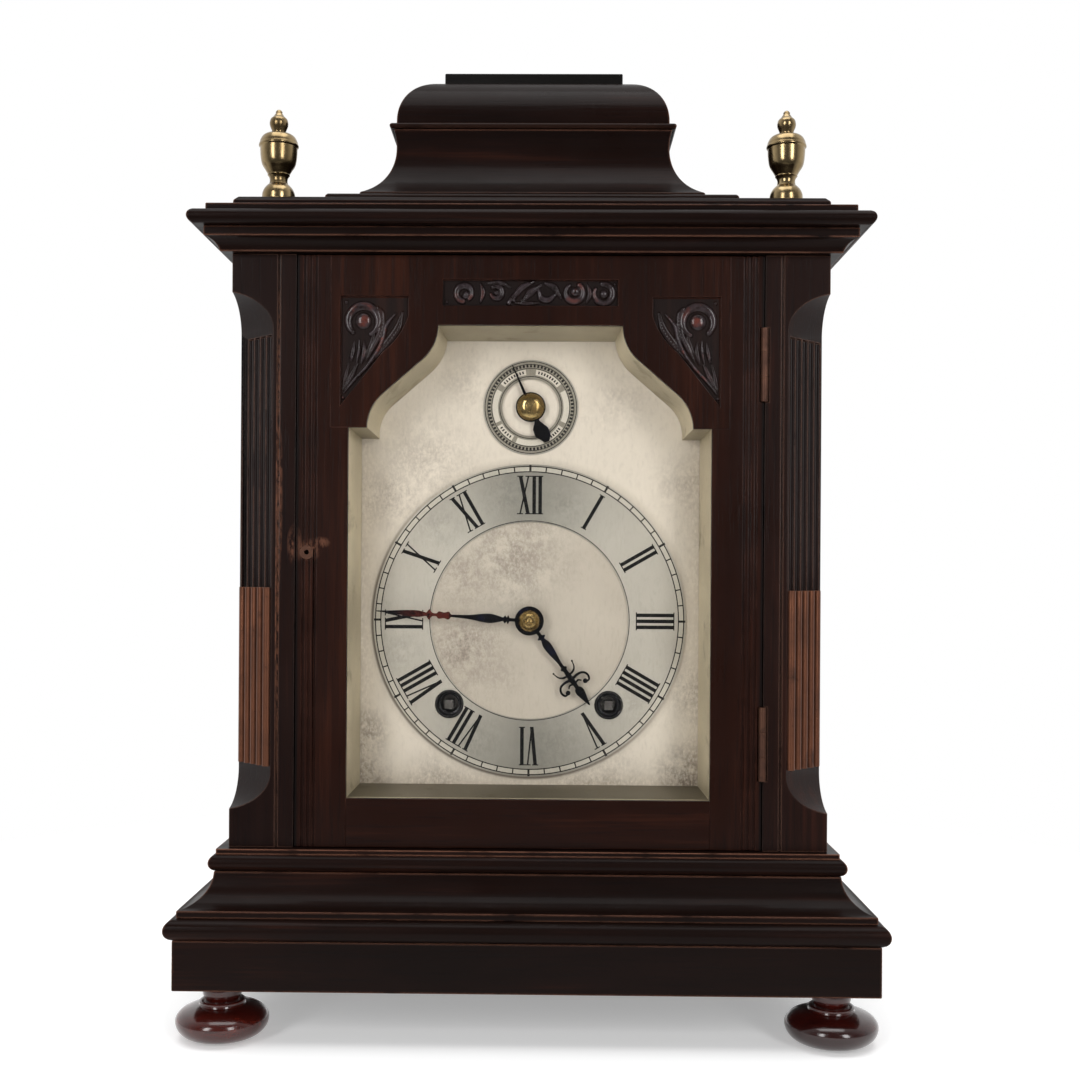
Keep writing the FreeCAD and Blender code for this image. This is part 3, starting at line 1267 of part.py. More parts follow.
feature("pallet_anchor", swing_arbor.fuse([anchor, crutch, fork_bridge] + fork))

pendulum_y = tail_y + value.pendulum_offset
bob_z = pallet_z - value.pendulum_length
eye = bar_y(value.arbor_radius * 1.6, 0, pendulum_y - 1, pendulum_y + 1, pallet_z)
pendulum_rod = Part.makeCylinder(value.pendulum_rod * 0.7, value.pendulum_length - value.arbor_radius,
                                 Vector(0, pendulum_y, bob_z), Vector(0, 0, 1))
stud_bore = bar_y(value.arbor_radius * 0.6 + value.run_clearance, 0, pendulum_y - 2, pendulum_y + 2, pallet_z)
bob_edge = value.bob_thickness / 2
bob_outline = [Vector(0, 0, -bob_edge), Vector(value.bob_radius * 0.7, 0, -bob_edge * 0.7),
               Vector(value.bob_radius, 0, 0), Vector(value.bob_radius * 0.7, 0, bob_edge * 0.7),
               Vector(0, 0, bob_edge)]
bob_face = Part.Face(Part.makePolygon(bob_outline + bob_outline[:1]))
bob = along_y(bob_face.revolve(Vector(0, 0, 0), Vector(0, 0, 1), 360), 0, pendulum_y, bob_z)
feature("pendulum", eye.fuse([pendulum_rod, bob]).cut(stud_bore))

# ---------------------------------------------------------------- gong and hammer

gong_y = value.gong_plane
gong_z = value.gong_height


def gong_wire():
    """A flat spiral of half-turns: every half-turn grows by half the pitch, its centre shifting with it."""
    edges = []
    radius = value.gong_inner
    centre = 0.0
    side = 1
    for index in range(int(value.gong_half_turns)):
        start = Vector(centre + side * radius, gong_y, gong_z)
        middle = Vector(centre, gong_y, gong_z + side * radius)
        end = Vector(centre - side * radius, gong_y, gong_z)
        edges.append(Part.Arc(start, middle, end).toShape())
        grown = radius + value.gong_pitch / 2
        centre = end.x + side * grown
        radius = grown
        side = -side
    lead = Part.makeLine(Vector(value.gong_inner, gong_y, gong_z - 2 * value.gong_wire_high),
                         Vector(value.gong_inner, gong_y, gong_z))
    return Part.Wire([lead] + edges)


path = gong_wire()
wire_x, wire_y = value.gong_wire_wide / 2, value.gong_wire_high / 2
start_point = Vector(value.gong_inner, gong_y, gong_z - 2 * value.gong_wire_high)
section = Part.makePolygon([start_point + Vector(dx, dy, 0) for dx, dy in
                            ((-wire_x, -wire_y), (wire_x, -wire_y), (wire_x, wire_y), (-wire_x, wire_y), (-wire_x, -wire_y))])
gong = path.makePipeShell([Part.Wire(section.Edges)], True, False)
feature("gong_coil", gong)
points = path.discretize(Number=int(value.gong_half_turns) * 24)
least_gap = min(points[a].distanceToPoint(points[b]) for a in range(len(points)) for b in range(a + 20, len(points)))
print("gong: least gap between turns", round(least_gap - value.gong_wire_wide, 2), "mm; volume over path",
      round(gong.Volume / (path.Length * value.gong_wire_wide * value.gong_wire_high), 3))

stand_y = gong_y + wire_y + value.fit_gap
foot_z = case_z.number
stand = Part.makeBox(value.stand_width, value.stand_thickness, gong_z - foot_z + value.gong_boss,
                     Vector(-value.stand_width / 2, stand_y, foot_z))
lead_low = gong_z - 2 * value.gong_wire_high
boss_back = stand_y + value.stand_thickness
gong_arm = Part.makeBox(value.gong_inner + value.gong_wire_wide + value.stand_width / 2, value.stand_thickness,
                        value.gong_boss, Vector(-value.stand_width / 2, stand_y, lead_low - value.gong_boss / 2))
gong_boss = Part.makeBox(2 * value.gong_wire_wide, boss_back - gong_y + wire_y, value.gong_boss / 2,
                         Vector(value.gong_inner - value.gong_wire_wide, gong_y - wire_y, lead_low - value.gong_boss / 2))
stand_foot = Part.makeBox(value.stand_width * 3, value.stand_thickness, value.stand_thickness,
                          Vector(-value.stand_width * 1.5, stand_y, foot_z))
feature("gong_stand", stand.fuse([gong_arm, gong_boss, stand_foot]))

hammer_x = -value.hammer_spread
head_z = value.hammer_height - value.hammer_length
hammer_bar = arbor_piece(hammer_x, value.hammer_height, face_y, gong_y + wire_y, value.hammer_arbor)
shank = Part.makeCylinder(value.hammer_arbor * 0.8, value.hammer_length, Vector(hammer_x, gong_y, head_z))
head = Part.makeCylinder(value.hammer_head, value.hammer_head_long,
                         Vector(hammer_x - value.hammer_head_long / 2, gong_y, head_z), Vector(1, 0, 0))
feature("strike_hammer", hammer_bar.fuse([shank, head]))

# ---------------------------------------------------------------- back

keep(box("rail_low", -inner_side, inner_side, back_inside, back_face, case_z, lower_rail_z), "back_rail_bottom")
rail_high = box("rail_high", -inner_side, inner_side, back_inside, back_face, upper_rail_z, cornice_z)
button_z = upper_rail_z + dim.button_wide
button_hole = rod("button_hole", dim.button_pin + dim.run_clearance, 0, back_face - dim.button_pin_long, back_face, button_z)
keep(cut("rail_high_cut", rail_high, [button_hole]), "back_rail_top")

door_panel = box("door_panel", -back_half, back_half, back_inside, back_face, lower_rail_z + dim.back_gap,
                 upper_rail_z - dim.back_gap)
keep(cut("back_door_cut", door_panel, back_hinge_recesses("panel", back_half - leaf_sink, back_half)), "back_door")
keep(hinge_halves("side_leaves", 1, back_hinge_x, back_face, dim.back_barrel, dim.back_gap, back_hinge_centres,
                  dim.back_hinge_length, -1), "back_hinge_side_leaves")
keep(hinge_halves("panel_leaves", -1, back_hinge_x, back_face, dim.back_barrel, dim.back_gap, back_hinge_centres,
                  dim.back_hinge_length, -1), "back_hinge_door_leaves")

knob_outline = [
    (0, 0),
    (dim.knob_radius * 0.5, 0),
    (dim.knob_radius * 0.4, dim.knob_height * 0.4),
    (dim.knob_radius, dim.knob_height * 0.6),
    (dim.knob_radius * 0.7, dim.knob_height),
    (0, dim.knob_height),
]
knob = turned("knob", knob_outline)
knob.Placement = Placement(Vector(0, 0, 0), Rotation(Vector(1, 0, 0), -90))
place(knob, -back_half + dim.knob_inset, back_face, (lower_rail_z + upper_rail_z) / 2)
keep(knob, "back_door_knob")

# the turn button lies level when the back door is free, and upright across its edge when shut
button_end = dim.button_wide / 2
button_reach = dim.button_long / 2 - button_end
button = front_plate("button", back_face + dim.fit_gap + dim.button_thick, dim.button_thick, [[
    (button_reach, button_z - button_end),
    (button_reach + button_end, button_z, button_end, 1),
    (button_reach, button_z + button_end, button_end, 1),
    (-button_reach, button_z + button_end),
    (-button_reach - button_end, button_z, button_end, 1),
    (-button_reach, button_z - button_end, button_end, 1),
]])
button_pin = rod("button_pin", dim.button_pin, 0, back_face - dim.button_pin_long + dim.fit_gap,
                 back_face + dim.fit_gap + dim.button_thick, button_z)
keep(fuse("button_whole", [button, button_pin]), "turn_button")

# ---------------------------------------------------------------- write

doc.recompute()
faults = [item.Name for item in doc.Objects if "Invalid" in item.State or "Error" in item.State]
for piece in nodes:
    if piece.Shape.isNull() or not piece.Shape.isValid():
        faults.append(piece.Label)
if faults:
    raise RuntimeError(f"not built: {faults}")
os.makedirs("parts", exist_ok=True)
for piece in nodes:
    piece.Shape.exportStep(f"parts/{piece.Label}.step")
print(len(nodes), "parts written")
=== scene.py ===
import math

import bmesh
import bpy
import numpy as np
from mathutils import Matrix, Vector


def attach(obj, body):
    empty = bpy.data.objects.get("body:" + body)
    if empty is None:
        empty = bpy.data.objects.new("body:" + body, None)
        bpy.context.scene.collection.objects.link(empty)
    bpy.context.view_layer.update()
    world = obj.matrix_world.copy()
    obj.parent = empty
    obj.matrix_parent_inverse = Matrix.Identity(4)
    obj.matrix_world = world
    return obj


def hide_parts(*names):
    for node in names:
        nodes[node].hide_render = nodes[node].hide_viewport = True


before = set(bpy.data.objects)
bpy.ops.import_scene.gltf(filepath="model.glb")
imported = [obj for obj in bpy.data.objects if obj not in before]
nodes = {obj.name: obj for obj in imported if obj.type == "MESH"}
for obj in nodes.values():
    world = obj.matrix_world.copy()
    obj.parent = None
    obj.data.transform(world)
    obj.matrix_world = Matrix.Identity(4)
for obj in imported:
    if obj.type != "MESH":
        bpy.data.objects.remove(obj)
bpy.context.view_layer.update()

# Dressed model of a dark mahogany bracket clock. Sizes below are in millimetres, turned to metres by mm,
# and colours are picked on the 0-255 scale.

mm = 0.001
scene = bpy.context.scene
finishes = {}
frontY = -68.4  # face of the front door
dialPlace = {"centreZ": 172.1, "ringFront": -39.2, "ink": 0.04, "sunk": 0.1}


# ---- node helpers

def linear(colour):
    def channel(value):
        value /= 255
        return value / 12.92 if value <= 0.04045 else ((value + 0.055) / 1.055) ** 2.4
    return (*map(channel, colour), 1.0)


class Wiring:
    # a node tree with short names for the nodes used most
    def __init__(self, tree):
        self.tree = tree

    def plug(self, value, socket):
        if isinstance(value, bpy.types.NodeSocket):
            self.tree.links.new(value, socket)
        else:
            socket.default_value = linear(value) if socket.type == "RGBA" and len(value) == 3 else value

    def add(self, kind, settings=None, **values):
        # values go by socket name, with _ for a space, or by place as _0, _1
        node = self.tree.nodes.new(kind)
        for key, value in (settings or {}).items():
            setattr(node, key, value)
        for key, value in values.items():
            label = key.replace("_", " ")
            self.plug(value, node.inputs[label if label in node.inputs else int(key[1:])])
        return node

    def group(self, made, **values):
        return self.add("ShaderNodeGroup", {"node_tree": made}, **values).outputs

    def maths(self, operation, *values, kind="ShaderNodeMath"):
        node = self.add(kind, {"operation": operation})
        for value, socket in zip(values, node.inputs):
            self.plug(value, socket)
        return node.outputs

    def plus(self, first, second):
        return self.maths("ADD", first, second)[0]

    def less(self, first, second):
        return self.maths("SUBTRACT", first, second)[0]

    def times(self, first, second):
        return self.maths("MULTIPLY", first, second)[0]

    def over(self, first, second):
        return self.maths("DIVIDE", first, second)[0]

    def larger(self, first, second):
        return self.maths("MAXIMUM", first, second)[0]

    def unsigned(self, value):
        return self.maths("ABSOLUTE", value)[0]

    def vector(self, operation, *values):
        return self.maths(operation, *values, kind="ShaderNodeVectorMath")

    def stretched(self, place, factors):
        return self.vector("MULTIPLY", place, factors)["Vector"]

    def parts(self, place):
        return self.add("ShaderNodeSeparateXYZ", Vector=place).outputs

    def spread(self, value, low, high, newLow=0.0, newHigh=1.0):
        return self.add("ShaderNodeMapRange", {"clamp": True}, Value=value, From_Min=low, From_Max=high,
                        To_Min=newLow, To_Max=newHigh).outputs["Result"]

    def mix(self, factor, first, second):
        return self.add("ShaderNodeMix", {"data_type": "RGBA"}, _0=factor, _6=first, _7=second).outputs[2]

    def noise(self, place, scale, detail=3.0, roughness=0.55, distortion=0.0):
        return self.add("ShaderNodeTexNoise", Vector=place, Scale=scale, Detail=detail, Roughness=roughness,
                        Distortion=distortion).outputs["Fac"]

    def dress(self, colour, roughness, height=None, distance=0.0, strength=1.0):
        # what every finish ends with
        self.plug(colour, self.shader.inputs["Base Color"])
        self.plug(roughness, self.shader.inputs["Roughness"])
        if height:
            raised = self.add("ShaderNodeBump", Strength=strength, Distance=distance * mm, Height=height)
            self.plug(raised.outputs["Normal"], self.shader.inputs["Normal"])


def newGroup(name, kind, inputs, outputs):
    # each input is its label, kind and value, each output its label and kind
    tree = bpy.data.node_groups.new(name, kind)
    for label, socketKind, value in inputs:
        socket = tree.interface.new_socket(label, in_out="INPUT", socket_type="NodeSocket" + socketKind)
        if value is not None:
            socket.default_value = value
    for label, socketKind in outputs:
        tree.interface.new_socket(label, in_out="OUTPUT", socket_type="NodeSocket" + socketKind)
    return Wiring(tree), tree.nodes.new("NodeGroupInput").outputs, tree.nodes.new("NodeGroupOutput").inputs


def newFinish(name, **constants):
    material = bpy.data.materials.new(name)
    material.use_nodes = True
    finishes[name] = material
    tree = Wiring(material.node_tree)
    tree.shader = material.node_tree.nodes["Principled BSDF"]
    tree.place = tree.add("ShaderNodeTexCoord").outputs["Object"]
    for key, value in constants.items():
        tree.plug(value, tree.shader.inputs[key.replace("_", " ")])
    return tree


# ---- shared surface effects

def makeEdgeWear():
    # rubbed edges: where a rounded normal leaves the true one, broken up by noise
    tree, given, out = newGroup("edgeWear", "ShaderNodeTree", [
        ("place", "Vector", None), ("width", "Float", 0.8 * mm), ("patches", "Float", 60.0),
        ("amount", "Float", 0.5)], [("mask", "Float")])
    rounded = tree.add("ShaderNodeBevel", {"samples": 4}, Radius=given["width"]).outputs["Normal"]
    flat = tree.add("ShaderNodeNewGeometry").outputs["True Normal"]
    edge = tree.spread(tree.vector("DOT_PRODUCT", rounded, flat)["Value"], 0.985, 0.80)
    broken = tree.noise(given["place"], given["patches"], 4.0, 0.65)
    threshold = tree.times(tree.less(1.0, given["amount"]), 0.62)
    patch = tree.spread(tree.less(broken, threshold), 0.0, 0.16)
    tree.plug(tree.times(edge, patch), out["mask"])
    return tree.tree


def makeGrain():
    # grain runs along Z of the vector it is given
    black = (0, 0, 0, 1)
    tree, given, out = newGroup("mahoganyGrain", "ShaderNodeTree", [
        ("place", "Vector", None), ("dark", "Color", black), ("warm", "Color", black),
        ("glow", "Color", black)],
        [("colour", "Color"), ("gloss", "Float"), ("height", "Float")])
    figure = tree.noise(tree.stretched(given["place"], (1, 1, 0.18)), 22.0, 4.0, 0.6, 0.6)
    streak = tree.noise(tree.stretched(given["place"], (1, 1, 0.035)), 260.0, 4.0, 0.6, 0.2)
    pores = tree.noise(tree.stretched(given["place"], (1, 1, 0.03)), 1500.0, 2.0, 0.5)
    blend = tree.plus(tree.times(figure, 0.82), tree.times(streak, 0.18))
    body = tree.mix(tree.spread(blend, 0.40, 0.62), given["dark"], given["warm"])
    body = tree.mix(tree.spread(tree.times(figure, streak), 0.30, 0.42), body, given["glow"])
    poreLine = tree.spread(pores, 0.66, 0.56)
    pore = tree.spread(poreLine, 1.0, 0.0, 0.0, 0.35)
    tree.plug(tree.mix(pore, body, (0.004, 0.003, 0.003, 1)), out["colour"])
    tree.plug(tree.spread(streak, 0.3, 0.7), out["gloss"])
    tree.plug(poreLine, out["height"])
    return tree.tree


def makeTarnish():
    # blotches and fine specks for metal, as two masks
    tree, given, out = newGroup("tarnish", "ShaderNodeTree", [
        ("place", "Vector", None), ("scale", "Float", 30.0), ("specks", "Float", 400.0),
        ("spread", "Float", 0.5)],
        [("blotch", "Float"), ("speck", "Float")])
    cloud = tree.noise(given["place"], given["scale"], 6.0, 0.62, 0.4)
    start = tree.less(0.78, tree.times(given["spread"], 0.4))
    tree.plug(tree.spread(tree.less(cloud, start), 0.0, 0.16), out["blotch"])
    grains = tree.noise(given["place"], given["specks"], 3.0, 0.7)
    tree.plug(tree.spread(grains, 0.60, 0.74), out["speck"])
    return tree.tree


# x, z, half-width, half-height and strength of each rubbed patch on the front, and the painted shade along the
# door's two gaps
scuffPlaces = [
    (-91.6, 201.8, 5.5, 5.0, 0.8), (-87.0, 205.0, 5.0, 2.6, 0.6), (-97.6, 204.0, 3.5, 9.0, 0.6),
    (-103.8, 222.0, 1.3, 36.0, 0.55), (-104.7, 205.0, 0.95, 125.0, 1.3), (-104.7, 262.0, 0.7, 60.0, 1.2)]
gapShadePlaces = {"x": [-96.9, 96.9], "from": 1.3, "full": 0.5, "behind": -60, "front": -64}


def makeScuffs():
    depth = 9
    tree, given, out = newGroup("scuffs", "ShaderNodeTree", [("place", "Vector", None)],
                                [("mask", "Float"), ("seam", "Float")])
    total = 0.0
    for x, z, wide, tall, strength in scuffPlaces:
        away = tree.vector("SUBTRACT", given["place"], (x * mm, frontY * mm, z * mm))["Vector"]
        away = tree.stretched(away, (1 / (wide * mm), 1 / (depth * mm), 1 / (tall * mm)))
        reach = tree.vector("LENGTH", away)["Value"]
        total = tree.larger(total, tree.spread(reach, 1.0, 0.35, 0.0, strength))
    broken = tree.noise(tree.stretched(given["place"], (1, 1, 0.4)), 620.0, 5.0, 0.7)
    tree.plug(tree.times(total, tree.spread(broken, 0.42, 0.56)), out["mask"])
    parts = tree.parts(given["place"])
    # painted shade: a near-black line along each of the door's two gaps, on front faces only
    dark = 0.0
    for x in gapShadePlaces["x"]:
        away = tree.unsigned(tree.less(parts["X"], x * mm))
        dark = tree.larger(dark, tree.spread(away, gapShadePlaces["from"] * mm, gapShadePlaces["full"] * mm))
    front = tree.spread(parts["Y"], gapShadePlaces["behind"] * mm, gapShadePlaces["front"] * mm)
    tree.plug(tree.times(dark, front), out["seam"])
    return tree.tree


edgeWear = makeEdgeWear()
mahoganyGrain = makeGrain()
tarnish = makeTarnish()
scuffs = makeScuffs()
print("shared effects ready")


# ---- finishes

woods = {
    "mahoganyUpright": {
        "dark": (22, 11, 9), "warm": (31, 16, 12), "glow": (43, 21, 15), "rub": (104, 76, 64), "wear": 0.5,
        "wearWidth": 0.8, "rubbedPatches": True},
    "mahoganyDoor": {
        "dark": (26, 11, 7), "warm": (35, 16, 10), "glow": (47, 22, 13), "rub": (84, 52, 42), "wear": 0.28,
        "wearWidth": 0.5, "rubbedPatches": True},
    "mahoganyRail": {
        "dark": (26, 11, 7), "warm": (35, 16, 10), "glow": (47, 22, 13), "rub": (84, 52, 42), "wear": 0.28,
        "wearWidth": 0.5, "level": True},
    "mahoganyLevel": {
        "dark": (17, 9, 7), "warm": (25, 13, 10), "glow": (38, 19, 13), "rub": (132, 90, 72), "wear": 0.5,
        "wearWidth": 1.1, "coat": 0.05, "sheen": 0.035, "level": True},
    "mahoganyTurned": {
        "dark": (38, 10, 8), "warm": (74, 21, 14), "glow": (104, 34, 20), "rub": (130, 60, 40), "wear": 0.2,
        "gloss": (0.12, 0.22), "coat": 0.7, "sheen": 0.3, "level": True},
    "ebonised": {
        "dark": (15, 14, 13), "warm": (23, 21, 20), "glow": (29, 27, 26), "rub": (48, 43, 40), "wear": 0.25,
        "gloss": (0.34, 0.5), "coat": 0.1, "level": True},
    "plainPine": {
        "dark": (146, 104, 62), "warm": (176, 130, 82), "glow": (190, 146, 96), "rub": (120, 84, 52),
        "wear": 0.1, "gloss": (0.55, 0.7), "coat": 0.0}}


def woodFinish(name, dark, warm, glow, rub, wear, level=False, gloss=(0.24, 0.42), coat=0.14, wearWidth=0.7,
               sheen=0.05, rubbedPatches=False):
    tree = newFinish(name, Coat_Weight=coat, Coat_Roughness=0.13, Specular_IOR_Level=sheen)
    turn = (0, math.radians(90 if level else 0), 0)
    mapped = tree.add("ShaderNodeMapping", Vector=tree.place, Rotation=turn).outputs[0]
    grain = tree.group(mahoganyGrain, place=mapped, dark=dark, warm=warm, glow=glow)
    rubbed = tree.group(edgeWear, place=tree.place, width=wearWidth * mm, patches=55.0, amount=wear)["mask"]
    body = tree.mix(rubbed, grain["colour"], rub)
    if rubbedPatches:
        marks = tree.group(scuffs, place=tree.place)
        body = tree.mix(marks["mask"], body, (110, 72, 55))
        # painted shade: near-black along the door's two gaps
        body = tree.mix(tree.times(marks["seam"], 0.85), body, (9, 7, 7))
    smear = tree.spread(tree.noise(tree.place, 18.0, 5.0, 0.65), 0.35, 0.65, *gloss)
    tree.dress(body, tree.plus(smear, tree.times(grain["gloss"], 0.06)), grain["height"], 0.05, 0.5)


def carvedFinish(name):
    # the sunk ground is dark and dull; raised parts carry a painted highlight, a patchy grey sheen, and a few
    # are rubbed red-brown
    tree = newFinish(name, Coat_Roughness=0.14, Specular_IOR_Level=0.08)
    grain = tree.group(mahoganyGrain, place=tree.place, dark=(22, 15, 14), warm=(28, 18, 16),
                       glow=(36, 21, 17))
    rise = tree.add("ShaderNodeAttribute", {"attribute_name": "carvedRise"}).outputs["Fac"]
    cloud = tree.noise(tree.place, 420.0, 4.0, 0.65)
    # painted highlight: grey on the raised parts, where the carving catches light
    paintedSheen = tree.times(tree.spread(rise, 0.25, 0.8), tree.spread(cloud, 0.36, 0.58))
    body = tree.mix(tree.times(paintedSheen, 0.55), grain["colour"], (70, 61, 65))
    patchy = tree.noise(tree.place, 130.0, 3.0, 0.6)
    rubbed = tree.times(tree.spread(rise, 0.5, 0.95), tree.spread(patchy, 0.52, 0.62))
    body = tree.mix(tree.times(rubbed, 0.75), body, (98, 48, 38))
    tree.plug(tree.spread(rise, 0.1, 0.7, 0.05, 0.5), tree.shader.inputs["Coat Weight"])
    tree.dress(body, tree.spread(rise, 0.0, 1.0, 0.5, 0.2), cloud, 0.1, 0.7)


metals = {
    # bright, dull and stain colour, roughness, metallic, blotch scale and spread, then speck tone, wear, bump
    "finialBrass": ((160, 140, 104), (122, 103, 72), (56, 44, 30), (0.2, 0.34), 1.0, 120.0, 0.5, 0.5, 0.0,
                    0.005),
    "hubBrass": ((182, 158, 106), (142, 118, 74), (80, 62, 38), (0.2, 0.36), 1.0, 220.0, 0.4),
    "reedBrass": ((112, 70, 50), (90, 57, 42), (48, 31, 26), (0.36, 0.52), 0.8, 90.0, 0.5, 0.5, 0.35),
    "hingeBrass": ((92, 62, 48), (66, 44, 36), (30, 20, 18), (0.4, 0.6), 0.8, 120.0, 0.6, 0.6, 0.5),
    "movementBrass": ((206, 172, 96), (184, 150, 84), (110, 84, 48), (0.2, 0.34), 1.0, 50.0, 0.3),
    "brightSteel": ((176, 174, 170), (142, 140, 138), (70, 60, 52), (0.22, 0.4), 1.0, 80.0, 0.35),
    "arborSteel": ((150, 146, 140), (104, 100, 96), (56, 48, 42), (0.24, 0.4), 1.0, 160.0, 0.4),
    "gongSteel": ((66, 72, 96), (50, 52, 70), (48, 36, 30), (0.26, 0.42), 1.0, 60.0, 0.3),
    "ironBlack": ((44, 42, 40), (30, 29, 28), (58, 40, 30), (0.5, 0.65), 0.6, 70.0, 0.3),
    "collarBlack": ((30, 29, 30), (18, 18, 19), (60, 56, 52), (0.3, 0.5), 0.5, 160.0, 0.25)}


def metalFinish(name, bright, dull, stain, rough, metallic, scale, spreadOut, speckTone=0.5, wear=0.0,
                bumpDepth=0.02):
    tree = newFinish(name, Metallic=metallic)
    marks = tree.group(tarnish, place=tree.place, scale=scale, specks=700.0, spread=spreadOut)
    broad = tree.spread(tree.noise(tree.place, scale * 0.6, 3.0), 0.35, 0.65)
    body = tree.mix(broad, bright, dull)
    body = tree.mix(tree.times(marks["blotch"], 0.8), body, stain)
    body = tree.mix(tree.times(marks["speck"], speckTone), body, stain)
    if wear > 0:
        rubbed = tree.group(edgeWear, place=tree.place, width=0.35 * mm, patches=140.0, amount=wear)["mask"]
        body = tree.mix(rubbed, body, bright)
    shine = tree.spread(tree.plus(marks["blotch"], broad), 0.0, 1.6, *rough)
    tree.dress(body, shine, tree.noise(tree.place, 900.0, 4.0, 0.6), bumpDepth, 0.5)


for name, values in woods.items():
    woodFinish(name, **values)
carvedFinish("carvedMahogany")
for name, values in metals.items():
    metalFinish(name, *values)
print("metal and wood finishes ready")

# where the plate is painted paler outside the ring (painted light), its darker sides and foot (part stain, part
# painted shade), and the painted shadow round the hour ring
dialWear = {"outside": (66, 72), "sides": (65, 78), "foot": (109, 95), "rimAt": 68.7, "rim": (1.1, 0.2),
            "rimSide": (215, 120)}
# x, z, radius and strength of each cloud of tarnish
dialStains = [
    (-8.0, 200.0, 26.0, 0.75), (-27.0, 192.0, 18.0, 0.6), (-29.0, 160.0, 20.0, 0.8), (-14.0, 150.0, 12.0, 0.4),
    (10.0, 196.0, 14.0, 0.35), (70.0, 104.0, 16.0, 1.0), (-72.0, 104.0, 12.0, 0.8), (-73.0, 122.0, 12.0, 0.9),
    (-46.0, 240.0, 26.0, 0.4), (-60.0, 226.0, 16.0, 0.5), (38.0, 268.0, 16.0, 0.3), (66.0, 232.0, 14.0, 0.35),
    (-30.0, 276.0, 16.0, 0.3), (-40.0, 100.0, 16.0, 0.5), (30.0, 99.0, 22.0, 0.45), (72.0, 140.0, 13.0, 0.5)]
ringStains = [
    (-8.0, 228.0, 16.0, 0.55), (14.0, 222.0, 12.0, 0.45), (-40.0, 214.0, 12.0, 0.35),
    (-56.0, 158.0, 10.0, 0.35),
    (10.0, 118.0, 16.0, 0.5), (-22.0, 120.0, 14.0, 0.45), (46.0, 138.0, 12.0, 0.3)]
silvers = {
    # bright, dull and grime-and-shade colour, stains, painted reflection on a turned face, painted light
    # outside the ring, its painted shadow
    "dialSilver": ((193, 184, 168), (178, 168, 152), (118, 106, 94), dialStains, 0.0, 0.55, True),
    "bandSilver": ((150, 144, 129), (134, 128, 113), (96, 90, 78), [(0, 265, 22, 0.9)], 0.0, 0.0, False),
    "fieldSilver": ((200, 195, 180), (186, 180, 165), (132, 126, 112), ringStains, 0.2, 0.3, False),
    "ringSilver": ((186, 181, 168), (174, 168, 155), (106, 104, 94), ringStains, 0.7, 0.15, False)}


def overDial(tree, value, name):
    near, far = dialWear[name]
    return tree.spread(value, near * mm, far * mm)


def stainMask(tree, stains):
    # soft round clouds, broken up by mottled noise
    flat = tree.stretched(tree.place, (1, 0, 1))
    total = 0.0
    for x, z, radius, strength in stains:
        away = tree.vector("DISTANCE", flat, (x * mm, 0, z * mm))["Value"]
        total = tree.larger(total, tree.spread(away, radius * 1.2 * mm, radius * 0.2 * mm, 0.0, strength))
    cloud = tree.noise(tree.place, 170.0, 6.0, 0.72)
    mottle = tree.noise(tree.stretched(tree.place, (1, 1, 0.6)), 1000.0, 5.0, 0.78)
    broken = tree.times(tree.spread(cloud, 0.37, 0.54), tree.spread(mottle, 0.32, 0.56))
    return tree.times(total, broken), mottle


def silverFinish(name, bright, dull, grimeAndShade, stains, turned, lift, ringShadow):
    # tarnished silvering; a turned face is painted duller where its fine rings lie level, a painted reflection
    # that leaves its sides lighter
    tree = newFinish(name, Metallic=0.1)
    parts = tree.parts(tree.place)
    centre = (0, 0, dialPlace["centreZ"] * mm)
    fromCentre = tree.vector("SUBTRACT", tree.stretched(tree.place, (1, 0, 1)), centre)["Vector"]
    reach = tree.vector("LENGTH", fromCentre)["Value"]
    level = tree.unsigned(tree.over(parts["X"], reach))
    body = tree.mix(tree.spread(tree.noise(tree.place, 14.0, 3.0), 0.35, 0.65), bright, dull)
    # painted reflection: darker at the top and bottom of a turned face, lighter at its sides
    body = tree.mix(tree.times(tree.spread(level, 0.75, 0.1), turned), body, grimeAndShade)
    mask, mottle = stainMask(tree, stains)
    # painted light: the plate paler outside the ring, against the shade of the door opening
    body = tree.mix(tree.times(overDial(tree, reach, "outside"), lift), body, (238, 228, 211))
    body = tree.mix(tree.times(mask, 0.95), body, grimeAndShade)
    fine = tree.spread(tree.noise(tree.stretched(tree.place, (1, 1, 0.35)), 900.0, 4.0, 0.7), 0.5, 0.72)
    body = tree.mix(tree.times(fine, 0.16), body, grimeAndShade)
    # darker sides and foot of the plate: part stain, part painted shade from the opening
    edge = tree.larger(overDial(tree, tree.unsigned(parts["X"]), "sides"), overDial(tree, parts["Z"], "foot"))
    dirtAndShade = tree.times(edge, tree.spread(mottle, 0.3, 0.55))
    body = tree.mix(tree.times(dirtAndShade, 0.55), body, (128, 112, 90))
    if ringShadow:
        # painted shadow of the hour ring on the plate along its outer edge, heavier to the left and below
        rim = overDial(tree, tree.unsigned(tree.less(reach, dialWear["rimAt"] * mm)), "rim")
        side = overDial(tree, tree.plus(parts["X"], parts["Z"]), "rimSide")
        body = tree.mix(tree.times(tree.times(rim, side), 0.8), body, (84, 74, 62))
    tree.dress(body, tree.spread(mask, 0.0, 1.0, 0.4, 0.55), mottle, 0.01, 0.4)


